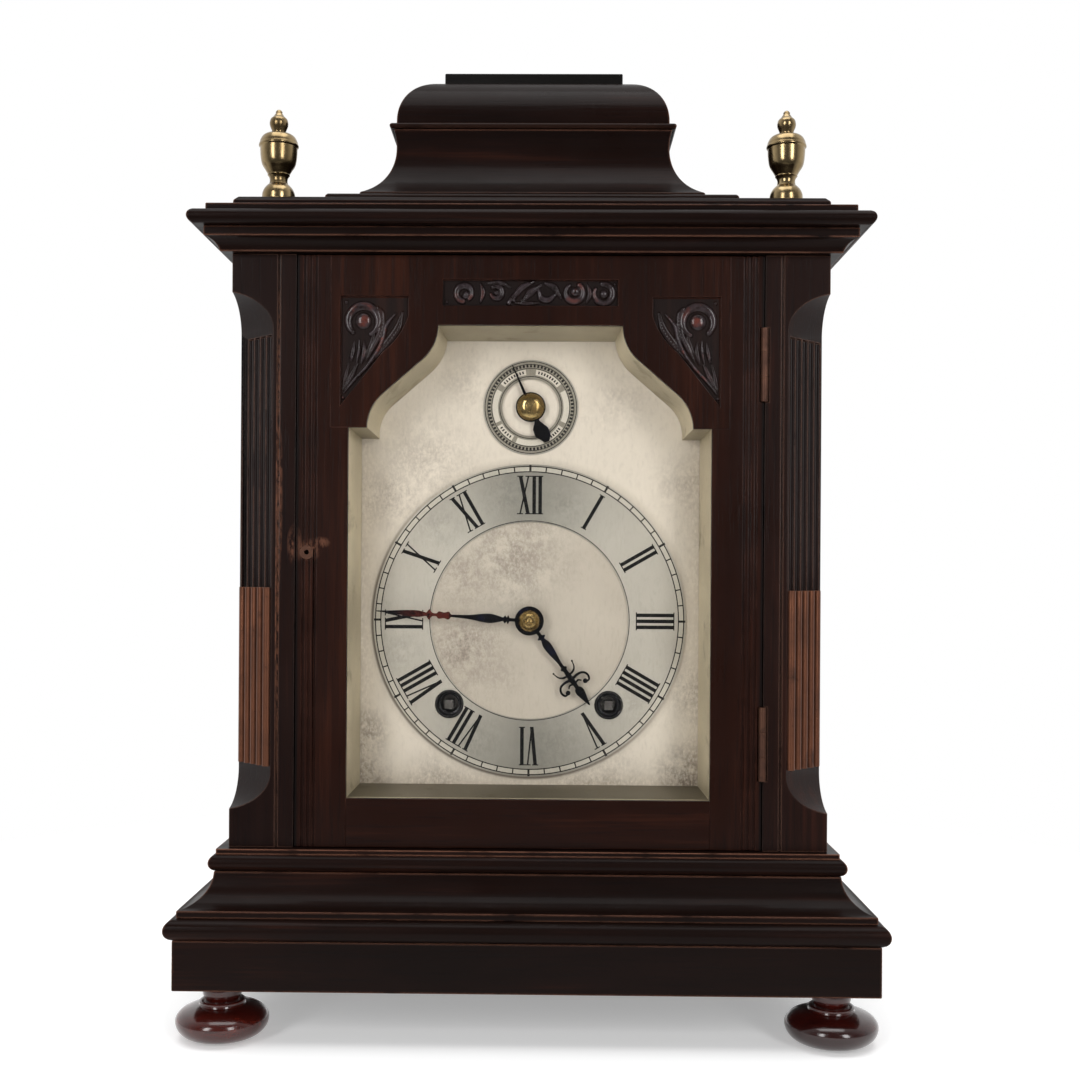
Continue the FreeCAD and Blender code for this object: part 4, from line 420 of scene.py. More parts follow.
def slipFinish(name):
    # olive-grey silvering, with painted shade darkening its level faces
    tree = newFinish(name, Metallic=0.4)
    marks = tree.group(tarnish, place=tree.place, scale=60.0, specks=500.0, spread=0.5)
    upright = tree.parts(tree.add("ShaderNodeNewGeometry").outputs["Normal"])["Z"]
    levelFaceShade = tree.larger(tree.spread(upright, 0.4, 0.9), tree.spread(upright, -0.4, -0.9, 0.0, 0.45))
    broad = tree.spread(tree.noise(tree.place, 22.0, 3.0), 0.35, 0.65)
    body = tree.mix(broad, (208, 197, 168), (178, 167, 139))
    body = tree.mix(tree.times(marks["blotch"], 0.6), body, (104, 94, 68))
    body = tree.mix(tree.times(marks["speck"], 0.3), body, (90, 80, 60))
    # painted shade: faces turned up take the dark olive fully, faces turned down about half
    body = tree.mix(levelFaceShade, body, (84, 76, 56))
    tree.dress(body, tree.spread(marks["blotch"], 0.0, 1.0, 0.4, 0.55))


def inkFinish(name, colour, faded, rough=0.5):
    tree = newFinish(name, Specular_IOR_Level=0.1)
    worn = tree.spread(tree.noise(tree.place, 900.0, 3.0, 0.6), 0.34, 0.46)
    tree.dress(tree.mix(worn, faded, colour), tree.spread(worn, 0, 1, rough + 0.15, rough))


def bluedFinish(name, rust=None):
    # blued steel; rust sits on one stretch of the long hand
    tree = newFinish(name, Metallic=0.6)
    marks = tree.group(tarnish, place=tree.place, scale=160.0, specks=1400.0, spread=0.4)
    body = tree.mix(tree.spread(tree.noise(tree.place, 150.0), 0.58, 0.70), (11, 11, 14), (22, 28, 62))
    body = tree.mix(tree.times(marks["speck"], 0.25), body, (60, 40, 34))
    if rust:
        along = tree.parts(tree.place)["X"]
        ends = [tree.spread(along, rust[end] * mm, (rust[end] + rust[fade]) * mm)
                for end, fade in (("start", "startFade"), ("stop", "stopFade"))]
        patchy = tree.spread(tree.noise(tree.place, 330.0, 5.0, 0.7), 0.34, 0.5)
        tone = tree.mix(tree.noise(tree.place, 700.0, 4.0, 0.7), (74, 26, 20), (124, 54, 42))
        body = tree.mix(tree.times(tree.times(*ends), patchy), body, tone)
    tree.dress(body, tree.spread(marks["blotch"], 0, 1, 0.24, 0.45), tree.noise(tree.place, 1600.0, 3.0), 0.02,
               0.6)


def glassFinish(name):
    # light passes straight through to what stands behind, so the dial stays bright
    tree = newFinish(name, Transmission_Weight=1.0, IOR=1.3, Base_Color=(0.985, 0.982, 0.978, 1))
    haze = tree.noise(tree.place, 25.0, 4.0, 0.6)
    tree.plug(tree.spread(haze, 0.3, 0.8, 0.0, 0.02), tree.shader.inputs["Roughness"])
    clear = tree.add("ShaderNodeBsdfTransparent", Color=(0.97, 0.966, 0.962, 1))
    path = tree.add("ShaderNodeLightPath").outputs
    mixed = tree.add("ShaderNodeMixShader", Fac=tree.larger(path["Is Shadow Ray"], path["Is Diffuse Ray"]),
                     _1=tree.shader.outputs[0], _2=clear.outputs[0])
    tree.plug(mixed.outputs[0], tree.tree.nodes["Material Output"].inputs["Surface"])


for name, values in silvers.items():
    silverFinish(name, *values)
slipFinish("slipSilver")
inkFinish("waxBlack", (11, 10, 10), (40, 38, 35))
inkFinish("trackInk", (30, 28, 26), (74, 70, 64))
bluedFinish("bluedSteel")
bluedFinish("bluedSteelRusty", {"start": -33.5, "startFade": -1.5, "stop": -58.0, "stopFade": 14.0})
glassFinish("windowGlass")
print("dial, hand and glass finishes ready")


# ---- mesh helpers

def evaluatedMesh(piece):
    bpy.context.view_layer.update()
    return bpy.data.meshes.new_from_object(piece.evaluated_get(bpy.context.evaluated_depsgraph_get()))


def finished(piece):
    # the object with its modifiers worked in, as a plain mesh
    mesh = evaluatedMesh(piece)
    bpy.data.objects.remove(piece)
    return mesh


def linked(name, data):
    piece = bpy.data.objects.new(name, data)
    scene.collection.objects.link(piece)
    return piece


def addPiece(name, mesh, finish, body, replaced=(), sharp=32.0):
    piece = linked(name, mesh)
    mesh.materials.clear()
    mesh.materials.append(finishes[finish])
    mesh.shade_smooth()
    mesh.set_sharp_from_angle(angle=math.radians(sharp))
    # large faces keep their own normal, so flats stay flat beside their eased edges
    piece.modifiers.new("weigh", "WEIGHTED_NORMAL").keep_sharp = True
    weighed = evaluatedMesh(piece)
    piece.modifiers.clear()
    piece.data = weighed
    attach(piece, body)
    if replaced:
        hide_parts(*replaced)


def meshOf(shape, name):
    mesh = bpy.data.meshes.new(name)
    shape.to_mesh(mesh)
    shape.free()
    return mesh


def bevelled(mesh, width, segments=2, limit=30.0):
    piece = linked("bevelling", mesh)
    bevel = piece.modifiers.new("bevel", "BEVEL")
    bevel.width = width * mm
    bevel.segments = segments
    bevel.limit_method = "ANGLE"
    bevel.angle_limit = math.radians(limit)
    bevel.use_clamp_overlap = True
    return finished(piece)


def mergedCopy(nodeName):
    mesh = nodes[nodeName].data.copy()
    shape = bmesh.new()
    shape.from_mesh(mesh)
    bmesh.ops.remove_doubles(shape, verts=shape.verts, dist=0.004 * mm)
    bmesh.ops.dissolve_limit(shape, angle_limit=math.radians(0.4), verts=shape.verts, edges=shape.edges)
    shape.to_mesh(mesh)
    shape.free()
    if mesh.has_custom_normals:
        mesh.normals_split_custom_set([(0, 0, 0)] * len(mesh.loops))
    return mesh


def easeEdges(nodeName, finish, body, slot, width):
    # the joiner's node again, with its edges eased
    name = "eased" + "".join(word.capitalize() for word in nodeName.split("_"))
    addPiece(name, bevelled(mergedCopy(nodeName), width), finish, body, [nodeName])


def smoothRun(points, steps=6):
    # a curve through the points, Catmull-Rom
    known = [Vector(point) for point in points]
    if len(known) < 3:
        return known
    ends = [known[0] * 2 - known[1]] + known + [known[-1] * 2 - known[-2]]
    made = []
    for index in range(len(known) - 1):
        before, start, end, after = ends[index:index + 4]
        for step in range(steps):
            t = step / steps
            slope, pull = end - before, 2 * before - 5 * start + 4 * end - after
            made.append(0.5 * (2 * start + slope * t + pull * t * t
                               + (3 * start - before - 3 * end + after) * t ** 3))
    return made + [known[-1]]


def flatRun(points, steps):
    return [tuple(point[:2]) for point in smoothRun([(*point, 0) for point in points], steps)]


def roundTurns(sides):
    return np.linspace(0, 2 * math.pi, sides, endpoint=False)


def turnedMesh(name, runs, centre, axis="Z", sides=96):
    # runs of (radius, height): each is smooth in itself and starts at an edge, where the one before it ends
    outline, last = [], []
    for run in runs:
        for point in smoothRun([(*point, 0) for point in last + run]):
            if not outline or (point - outline[-1]).length > 1e-5:
                outline.append(point)
        last = run[-1:]
    points, rings, faces = [], [], []
    for radius, height, _ in outline:
        turns = roundTurns(sides if radius > 1e-6 else 1)
        rings.append(range(len(points), len(points) + len(turns)))
        points += [(radius * math.cos(turn), radius * math.sin(turn), height) for turn in turns]
    for low, high in zip(rings, rings[1:]):
        for side in range(sides):
            after = (side + 1) % sides
            corners = [low[side % len(low)], low[after % len(low)], high[after % len(high)],
                       high[side % len(high)]]
            face = list(dict.fromkeys(corners))
            if len(face) > 2:
                faces.append(face)
    turn = Matrix.Rotation(math.radians(90 if axis == "-Y" else 0), 3, "X")
    mesh = bpy.data.meshes.new(name)
    mesh.from_pydata([(turn @ Vector(point) + Vector(centre)) * mm for point in points], [], faces)
    shape = bmesh.new()
    shape.from_mesh(mesh)
    bmesh.ops.remove_doubles(shape, verts=shape.verts, dist=1e-7)
    bmesh.ops.recalc_face_normals(shape, faces=shape.faces)
    return meshOf(shape, name)


def flatRing(inner, outer, centreZ, yFront, yBack, sides=180):
    runs = [[(inner, -yBack), (outer, -yBack)], [(outer, -yFront)], [(inner, -yFront)], [(inner, -yBack)]]
    return turnedMesh("ring", runs, (0, 0, centreZ), "-Y", sides)


def joined(name, meshes):
    shape = bmesh.new()
    for mesh in meshes:
        shape.from_mesh(mesh)
    return meshOf(shape, name)


def prism(outline, yFront, yBack):
    # a flat shape in the X-Z plane, given a thickness
    shape = bmesh.new()
    front, back = ([shape.verts.new((x * mm, y * mm, z * mm)) for x, z in outline] for y in (yFront, yBack))
    shape.faces.new(front)
    shape.faces.new(back[::-1])
    for index in range(len(outline)):
        after = (index + 1) % len(outline)
        shape.faces.new((front[index], back[index], back[after], front[after]))
    bmesh.ops.recalc_face_normals(shape, faces=shape.faces)
    return meshOf(shape, "flat")


def turnedTo(outline, clockwise, x, z):
    # an outline drawn pointing up, turned clockwise about its origin and put in its place
    angle = math.radians(clockwise)
    return [(x + px * math.cos(angle) + pz * math.sin(angle), z - px * math.sin(angle) + pz * math.cos(angle))
            for px, pz in outline]


def strokeOutline(points, widths):
    # a ribbon of changing width along a smooth line
    line = smoothRun([(*point, 0) for point in points])
    wide = np.interp(np.linspace(0, 1, len(line)), np.linspace(0, 1, len(widths)), widths)
    left, right = [], []
    for index, point in enumerate(line):
        along = (line[min(index + 1, len(line) - 1)] - line[max(index - 1, 0)]).normalized()
        out = Vector((-along.y, along.x, 0)) * wide[index] / 2
        left.append(tuple((point + out)[:2]))
        right.append(tuple((point - out)[:2]))
    return left + right[::-1]


# ---- case woodwork

caseWood = {
    # finish, slot and width of the eased edges, then the nodes
    "boards": ("mahoganyLevel", "polished_mahogany", 0.45, [
        "plinth", "base_torus", "base_cavetto", "base_ledge", "cornice_moulding", "cornice_board",
        "platform_board", "caddy_board", "caddy_body", "caddy_top"]),
    "uprights": ("mahoganyUpright", "polished_mahogany", 0.28, [
        "case_side_left", "case_side_right", "corner_post_left", "corner_post_right"]),
    "cap": ("ebonised", "ebonised_wood", 0.5, ["cap_plate"]),
    "inside": ("plainPine", "inner_wood", 0.5, ["seat_board", "dial_battens"]),
    "backRails": ("mahoganyLevel", "polished_mahogany", 0.4, ["back_rail_bottom", "back_rail_top"])}
for finish, slot, width, names in caseWood.values():
    for nodeName in names:
        easeEdges(nodeName, finish, "case", slot, width)
easeEdges("back_door", "mahoganyUpright", "back_door", "polished_mahogany", 0.5)
print("case woodwork eased")

# turned feet: pad, bun, fillet and a rounded neck under the plinth
footTurning = {
    "runs": [
        [(0, 0), (8.6, 0)],
        [(11.6, 0.5), (15.6, 1.9), (18.1, 4.2), (19.1, 7.0), (18.6, 9.4), (16.4, 11.6), (12.6, 13.2),
         (9.6, 13.9)],
        [(9.3, 14.6), (9.3, 15.3)],
        [(8.6, 15.7), (7.0, 15.9)],
        [(7.9, 17.8), (8.1, 19.6), (7.8, 21.4), (6.9, 22.6)],
        [(6.9, 23.3)],
        [(0, 23.3)]],
    "spread": 125.95, "front": -70.1, "back": 69.5, "sides": 112}
feet = [turnedMesh("foot", footTurning["runs"], (side * footTurning["spread"], y, 0),
                   sides=footTurning["sides"])
        for y in (footTurning["front"], footTurning["back"]) for side in (-1, 1)]
addPiece("turnedFeet", joined("turnedFeet", feet), "mahoganyTurned", "case",
         ["bun_feet"])

# turned brass urns
urnTurning = {
    "runs": [
        [(0, 0), (7.33, 0)],
        [(7.43, 1.4)],
        [(6.96, 2.0), (7.05, 3.0)],
        [(6.86, 5.0), (6.11, 6.8), (4.98, 8.2), (4.04, 9.0)],
        [(3.76, 10.2), (3.85, 11.4), (4.32, 12.4)],
        [(4.7, 12.8), (4.61, 13.3)],
        [(5.73, 15.2), (6.96, 17.2), (7.52, 19.4), (7.8, 22.0), (7.9, 24.6)],
        [(8.37, 25.1), (8.41, 25.6), (8.18, 26.3)],
        [(7.8, 27.6), (6.86, 29.2), (5.26, 30.2), (2.91, 30.7)],
        [(2.82, 31.3), (3.2, 32.4), (3.76, 33.8), (3.95, 35.0), (3.76, 36.2)],
        [(3.38, 37.0), (2.44, 37.9), (1.79, 38.8)],
        [(1.41, 39.4), (1.41, 40.0), (0.85, 40.7), (0, 41.1)]],
    "spread": 108.35, "y": -52.5, "z": 349.4, "sharp": 40}
urns = [turnedMesh("urn", urnTurning["runs"], (side * urnTurning["spread"], urnTurning["y"], urnTurning["z"]))
        for side in (-1, 1)]
addPiece("turnedUrns", joined("turnedUrns", urns), "finialBrass", "case", ["finials"],
         urnTurning["sharp"])
print("feet and urns turned")

doorWood = {"door_stile_left": ("mahoganyDoor", 0.3), "door_stile_right": ("mahoganyDoor", 0.3),
            "door_bottom_rail": ("mahoganyRail", 0.22), "door_top_rail": ("mahoganyDoor", 0.22)}
for nodeName, (finish, width) in doorWood.items():
    easeEdges(nodeName, finish, "front_door", "polished_mahogany", width)
print("door frame eased")


# ---- carving, as height over the sunk ground

def lobe(px, pz, points, widths, height, vein):
    # a raised rib along a smooth line: rounded across, as wide as widths says, with an optional groove
    line = np.array(flatRun(points, 5))
    wide = np.interp(np.linspace(0, 1, len(line)), np.linspace(0, 1, len(widths)), widths)
    best = np.full(px.shape, -1.0)
    for (x0, z0), (x1, z1), w0, w1 in zip(line, line[1:], wide, wide[1:]):
        dx, dz = x1 - x0, z1 - z0
        t = np.clip(((px - x0) * dx + (pz - z0) * dz) / (dx * dx + dz * dz + 1e-12), 0, 1)
        width = w0 + (w1 - w0) * t
        across = np.hypot(px - x0 - t * dx, pz - z0 - t * dz) / np.maximum(width, 1e-6)
        rise = np.sqrt(np.clip(1 - across ** 2, 0, 1)) * np.minimum(1, width / 0.9)
        if vein:
            rise = rise - vein * np.exp(-(across / 0.22) ** 2) * (across < 1)
        best = np.maximum(best, np.where(across < 1, rise, -1))
    return np.where(best > -1, best * height, 0.0)


def spiralPoints(x, z, startRadius, endRadius, startTurn, turns, steps=26):
    made = []
    for t in np.linspace(0, 1, steps):
        radius = startRadius + (endRadius - startRadius) * t
        turn = math.radians(startTurn + turns * 360 * t)
        made.append((x + radius * math.cos(turn), z + radius * math.sin(turn)))
    return made


def insideOutline(px, pz, outline):
    inside = np.zeros(px.shape, bool)
    for (x0, z0), (x1, z1) in zip(outline, outline[1:] + outline[:1]):
        crosses = (z0 > pz) != (z1 > pz)
        with np.errstate(divide="ignore", invalid="ignore"):
            at = (x1 - x0) * (pz - z0) / (z1 - z0 + 1e-15) + x0
        inside ^= crosses & (px < at)
    return inside


def reliefOver(values, mirror=1):
    def heightAt(px, pz):
        height = np.zeros(px.shape)
        for rib in values["ribs"]:
            height = np.maximum(height, lobe(mirror * px, pz, *rib))
        for x, z, radius, rise in values["bosses"]:
            dome = np.sqrt(np.clip(1 - (np.hypot(mirror * px - x, pz - z) / radius) ** 2, 0, 1))
            height = np.maximum(height, dome * rise)
        return height
    return heightAt


carvingCut = {"depth": 1.6, "step": 0.22, "lift": 0.02, "back": 0.3, "sharp": 70}


def carvedMesh(name, outline, heightAt):
    # a sheet over the outline, raised towards the front by heightAt, with a closed back
    step = carvingCut["step"]
    xs, zs = zip(*outline)
    columns = int((max(xs) - min(xs)) / step) + 2
    rows = int((max(zs) - min(zs)) / step) + 2
    gx, gz = np.meshgrid(min(xs) + step * np.arange(columns), min(zs) + step * np.arange(rows))
    inside = insideOutline(gx, gz, outline)
    height = heightAt(gx, gz)
    groundY = frontY + carvingCut["depth"] - carvingCut["lift"]
    top = max(height[inside].max(), 1e-6)
    shape = bmesh.new()
    rise = shape.verts.layers.float.new("carvedRise")
    made = {}
    for key in map(tuple, np.argwhere(inside)):
        made[key] = shape.verts.new((gx[key] * mm, (groundY - height[key]) * mm, gz[key] * mm))
        made[key][rise] = float(np.clip(height[key] / top, 0, 1))
    for row, column in np.argwhere(inside):
        corners = [made.get(key) for key in ((row, column), (row, column + 1), (row + 1, column + 1),
                                             (row + 1, column))]
        if all(corners):
            shape.faces.new(corners)
    bmesh.ops.delete(shape, geom=[vert for vert in shape.verts if not vert.link_faces], context="VERTS")
    piece = linked(name, meshOf(shape, name))
    thick = piece.modifiers.new("back", "SOLIDIFY")
    thick.thickness = carvingCut["back"] * mm
    thick.offset = -1
    return finished(piece)


carvedCorner = {
    # drawn for the left corner: line, half-widths, height and groove of each rib, then the round bosses
    "outline": [(-78.6, 262.6), (-78.6, 307.2), (-51.2, 307.2), (-51.2, 299.6), (-52.6, 294.6), (-55.2, 290.2),
                (-58.2, 287.0), (-61.4, 284.2), (-70.0, 273.4)],
    "ribs": [
        (spiralPoints(-69.6, 297.4, 6.2, 6.4, -62, 0.80), [0.9, 1.6, 1.9, 2.0, 1.8, 1.2], 1.15, 0.0),
        ([(-63.6, 302.9), (-61.9, 300.1), (-62.3, 293.5), (-65.0, 287.5), (-68.3, 281.0)],
         [0.8, 1.4, 1.5, 1.2, 0.4], 1.0, 0.3),
        ([(-65.0, 293.4), (-66.4, 287.5), (-69.2, 281.5)], [0.6, 1.2, 0.5], 0.85, 0.25),
        ([(-56.2, 300.4), (-58.9, 297.4), (-60.3, 295.0), (-61.3, 290.6), (-63.2, 285.7), (-67.4, 279.3),
          (-72.8, 273.4), (-77.6, 267.4)], [0.5, 0.8, 0.95, 0.95, 0.9, 0.8, 0.7, 0.4], 1.55, 0.0),
        ([(-53.4, 300.8), (-55.2, 294.9), (-58.8, 289.4), (-63.2, 284.0), (-66.8, 279.6)],
         [0.8, 1.7, 1.9, 1.2, 0.4], 0.75, 0.45),
        ([(-71.3, 289.4), (-71.4, 285.2), (-72.3, 280.2)], [0.5, 0.9, 0.5], 1.3, 0.0),
        ([(-73.2, 288.6), (-73.9, 284.6), (-74.6, 281.0)], [0.5, 1.1, 0.6], 1.15, 0.2),
        ([(-69.3, 288.8), (-69.2, 284.6), (-70.4, 280.0)], [0.5, 1.2, 0.6], 1.2, 0.2),
        ([(-72.2, 279.4), (-74.6, 274.4), (-77.4, 269.0)], [0.7, 1.4, 0.5], 1.0, 0.35),
        ([(-75.6, 279.4), (-77.0, 273.8), (-78.1, 268.6)], [0.6, 1.0, 0.4], 0.9, 0.25)],
    "bosses": [(-69.6, 297.4, 3.5, 1.5), (-74.4, 282.4, 0.95, 1.3), (-71.0, 275.0, 0.8, 1.2),
               (-77.9, 265.4, 0.7, 1.1), (-76.8, 305.2, 0.9, 0.7)]}
carvedTablet = {
    "outline": [(-36.3, 304.0), (36.3, 304.0), (36.3, 314.4), (-36.3, 314.4)],
    "ribs": [
        (spiralPoints(-27.6, 309.1, 3.1, 3.4, -50, 0.86), [0.9, 1.5, 1.6, 1.3], 1.2, 0.0),
        ([(-20.8, 312.9), (-19.8, 309.4), (-20.8, 305.6)], [0.6, 1.3, 0.6], 1.2, 0.25),
        (spiralPoints(-14.4, 309.4, 2.3, 2.7, 200, 0.78), [0.8, 1.3, 1.4, 1.0], 1.2, 0.0),
        ([(-18.0, 313.3), (-12.6, 313.6), (-8.6, 311.6)], [0.6, 1.1, 0.6], 1.0, 0.3),
        ([(1.2, 313.9), (-3.4, 311.6), (-6.6, 308.2), (-9.4, 305.0)], [0.7, 1.4, 1.3, 0.8], 1.5, 0.0),
        ([(4.4, 312.6), (0.0, 309.6), (-3.4, 305.8)], [0.7, 1.8, 0.8], 1.05, 0.4),
        ([(-6.4, 305.2), (-1.6, 304.9), (3.6, 305.2)], [0.5, 1.1, 0.5], 0.95, 0.2),
        ([(3.4, 310.2), (4.4, 307.2), (7.4, 306.4), (10.2, 308.6)], [0.8, 1.4, 1.4, 0.8], 1.25, 0.0),
        ([(6.0, 313.4), (9.8, 311.6), (12.6, 307.4)], [0.7, 1.6, 0.7], 1.0, 0.35),
        (spiralPoints(18.0, 309.5, 3.4, 3.8, 120, 0.82), [0.8, 1.5, 1.6, 1.2], 1.2, 0.0),
        ([(23.6, 312.9), (24.6, 309.0), (23.4, 305.4)], [0.6, 1.2, 0.6], 1.0, 0.25),
        (spiralPoints(30.2, 309.1, 3.7, 4.0, 150, 0.85), [0.9, 1.5, 1.6, 1.2], 1.1, 0.0)],
    "bosses": [(-26.9, 308.3, 1.7, 1.55), (-14.2, 309.4, 1.2, 1.4), (-8.8, 304.9, 0.9, 1.5),
               (-6.9, 306.1, 0.8, 1.4), (18.6, 309.9, 2.0, 1.55), (30.4, 308.9, 1.8, 1.2),
               (34.9, 313.0, 0.7, 0.8), (-34.8, 305.4, 0.7, 0.8)]}
mirroredCorner = [(-x, z) for x, z in carvedCorner["outline"]][::-1]
for name, outline, relief in (
        ("carvedSpandrelLeft", carvedCorner["outline"], reliefOver(carvedCorner)),
        ("carvedSpandrelRight", mirroredCorner, reliefOver(carvedCorner, -1)),
        ("carvedTablet", carvedTablet["outline"], reliefOver(carvedTablet))):
    addPiece(name, carvedMesh(name, outline, relief), "carvedMahogany", "front_door",
             sharp=carvingCut["sharp"])
print("carving cut")


# ---- dial work

ringY = dialPlace["ringFront"]
ringBack = ringY + dialPlace["sunk"]
centreZ = dialPlace["centreZ"]
ink = dialPlace["ink"]
inkY = ringY - ink


def makeMarks():
    # small bars standing round a circle, all of one size
    tree, given, out = newGroup("trackMarks", "GeometryNodeTree", [
        ("Count", "Int", 60), ("Radius", "Float", 65 * mm), ("Width", "Float", 0.3 * mm),
        ("Length", "Float", 2 * mm), ("Thickness", "Float", 0.1 * mm), ("Place", "Vector", (0, 0, 0))],
        [("Geometry", "Geometry")])
    size = tree.add("ShaderNodeCombineXYZ", X=given["Width"], Y=given["Thickness"], Z=given["Length"])
    bar = tree.add("GeometryNodeMeshCube", Size=size.outputs[0])
    around = tree.add("GeometryNodeMeshCircle", Vertices=given["Count"], Radius=given["Radius"])
    index = tree.add("GeometryNodeInputIndex").outputs[0]
    turn = tree.times(tree.over(index, given["Count"]), 2 * math.pi)
    spin = tree.add("ShaderNodeCombineXYZ", Y=tree.less(math.pi / 2, turn))
    lay = tree.add("GeometryNodeTransform", Geometry=around.outputs[0], Rotation=(math.pi / 2, 0, 0))
    put = tree.add("GeometryNodeInstanceOnPoints", Points=lay.outputs[0], Instance=bar.outputs[0],
                   Rotation=spin.outputs[0])
    move = tree.add("GeometryNodeTransform", Geometry=put.outputs[0], Translation=given["Place"])
    real = tree.add("GeometryNodeRealizeInstances", _0=move.outputs[0])
    inked = tree.add("GeometryNodeSetMaterial", Geometry=real.outputs[0], Material=finishes["trackInk"])
    tree.plug(inked.outputs[0], out[0])
    return tree.tree


trackMarks = makeMarks()


def marksMesh(count, radius, width, length, z, thick=ink):
    # the tree's result with these input values, as a plain mesh
    values = {"Count": count, "Radius": radius * mm, "Width": width * mm, "Length": length * mm,
              "Thickness": 2 * thick * mm, "Place": (0, ringY * mm, z * mm)}
    carrier = linked("carrier", bpy.data.meshes.new("carrier"))
    modifier = carrier.modifiers.new("grow", "NODES")
    modifier.node_group = trackMarks
    for item in trackMarks.interface.items_tree:
        if item.in_out == "INPUT":
            modifier[item.identifier] = values[item.name]
    return finished(carrier)


minuteTrack = {"outer": 67.5, "inner": 65.2, "line": 0.46, "tick": 0.55, "tickInset": 0.1, "fiveTick": 0.95,
               "fiveReach": 0.9, "fiveRise": 0.01, "innerLine": (43.35, 43.7), "fieldShare": 2}
trackDeep = minuteTrack["outer"] - minuteTrack["inner"]
trackMiddle = (minuteTrack["outer"] + minuteTrack["inner"]) / 2
trackMeshes = [
    flatRing(minuteTrack[edge] - minuteTrack["line"], minuteTrack[edge], centreZ, inkY, ringBack)
    for edge in ("outer", "inner")] + [
    flatRing(*minuteTrack["innerLine"], centreZ, inkY, ringBack),
    marksMesh(60, trackMiddle - minuteTrack["tickInset"], minuteTrack["tick"], trackDeep, centreZ),
    marksMesh(12, trackMiddle, minuteTrack["fiveTick"], trackDeep + minuteTrack["fiveReach"], centreZ,
              ink + minuteTrack["fiveRise"])]
# the minute fields between the lines keep more of their silvering
minuteFields = flatRing(minuteTrack["inner"], minuteTrack["outer"] - minuteTrack["line"], centreZ,
                        ringY - ink / minuteTrack["fieldShare"], ringBack)
addPiece("minuteFields", minuteFields, "fieldSilver", "case")
addPiece("minuteTrackLines", joined("minuteTrackLines", trackMeshes), "trackInk", "case")

numeralValues = {
    "hours": ["I", "II", "III", "IIII", "V", "VI", "VII", "VIII", "IX", "X", "XI", "XII"], "low": 46.4,
    "high": 63.2, "serif": 0.45, "serifReach": 1.1, "thin": 0.66, "gap": 1.0625, "rise": 0.02, "layer": 0.002,
    "layers": 7, "wide": {"I": 1.55, "V": 4.8, "X": 5.0}}


def bar(x0, z0, x1, z1, width):
    # a straight stroke whose ends are level with the numeral's top and foot
    half = width / 2 * math.hypot(x1 - x0, z1 - z0) / abs(z1 - z0)
    return [(x0 - half, z0), (x0 + half, z0), (x1 + half, z1), (x1 - half, z1)]


def numeralOutlines(letters, values):
    low, high, serif, thin, wide = (values[key] for key in ("low", "high", "serif", "thin", "wide"))
    thick = wide["I"]
    x = -(sum(wide[letter] for letter in letters) + values["gap"] * (len(letters) - 1)) / 2
    outlines = []
    for letter in letters:
        left, right = x + thick / 2, x + wide[letter] - thin
        if letter == "I":
            outlines.append(bar(left, low, left, high, thick))
            serifs = [(left, low), (left, high - serif)]
        else:
            middle = x + wide[letter] / 2
            foot = (middle, middle) if letter == "V" else (x + wide[letter] - thick / 2, x + thin)
            outlines += [bar(foot[0], low, left, high, thick), bar(foot[1], low, right, high, thin)]
            serifs = [(left, high - serif), (right, high - serif)]
            if letter == "X":
                serifs += [(at, low) for at in foot]
        outlines += [bar(at, edge, at, edge + serif, thick + values["serifReach"]) for at, edge in serifs]
        x += wide[letter] + values["gap"]
    return outlines


strokes = []
for hour, letters in enumerate(numeralValues["hours"], 1):
    for level, outline in enumerate(numeralOutlines(letters, numeralValues)):
        rise = numeralValues["rise"] + numeralValues["layer"] * (level % numeralValues["layers"])
        strokes.append(prism(turnedTo(outline, hour * 30, 0, centreZ), inkY - rise, ringBack))
addPiece("hourNumerals", joined("hourNumerals", strokes), "waxBlack", "case")
print("hour ring marked")

# small upper dial: lines, a beaded tick track and seven fields, four of them with a short scale
smallDial = {
    "z": 265.1, "band": (12.4, 20.2), "lines": [(20.2, 0.35), (19.0, 0.3), (17.2, 0.3), (13.7, 0.35)],
    "beads": (72, 18.1, 0.9, 1.15), "field": (14.3, 16.7), "tick": (14.9, 16.1, 0.64), "tickInset": 3,
    "fields": [(8, 52), (63, 114), (122, 154), (160, 203), (210, 240), (246, 298), (308, 352)],
    "scales": [(10, 50, 8), (310, 350, 8), (124, 152, 6), (212, 238, 5)], "sides": 120, "bandShare": 3,
    "fieldShare": 1.6}
smallZ = smallDial["z"]


def sectorOutline(inner, outer, first, last, steps=14):
    # part of a ring, clockwise from first to last
    turns = np.radians(np.linspace(first, last, steps))
    return [(outer * math.sin(turn), outer * math.cos(turn)) for turn in turns] + [
        (inner * math.sin(turn), inner * math.cos(turn)) for turn in turns[::-1]]


bandY = ringY - ink / smallDial["bandShare"]
fieldY = ringY - ink / smallDial["fieldShare"]
addPiece("smallDialBand", flatRing(*smallDial["band"], smallZ, bandY, ringBack, smallDial["sides"]),
         "bandSilver", "case")
smallFields = [prism(turnedTo(sectorOutline(*smallDial["field"], *ends), 0, 0, smallZ), fieldY, ringBack)
               for ends in smallDial["fields"]]
addPiece("smallDialFields", joined("smallDialFields", smallFields), "fieldSilver", "case")
smallLines = [flatRing(radius - width, radius, smallZ, inkY, ringBack, smallDial["sides"])
              for radius, width in smallDial["lines"]]
smallLines.append(marksMesh(*smallDial["beads"], smallZ))
low, high, tickWidth = smallDial["tick"]
for first, last, count in smallDial["scales"]:
    for turn in np.linspace(first + smallDial["tickInset"], last - smallDial["tickInset"], count):
        smallLines.append(prism(turnedTo(bar(0, low, 0, high, tickWidth), turn, 0, smallZ), inkY, ringBack))
addPiece("smallDialLines", joined("smallDialLines", smallLines), "trackInk", "case")
print("small dial marked")

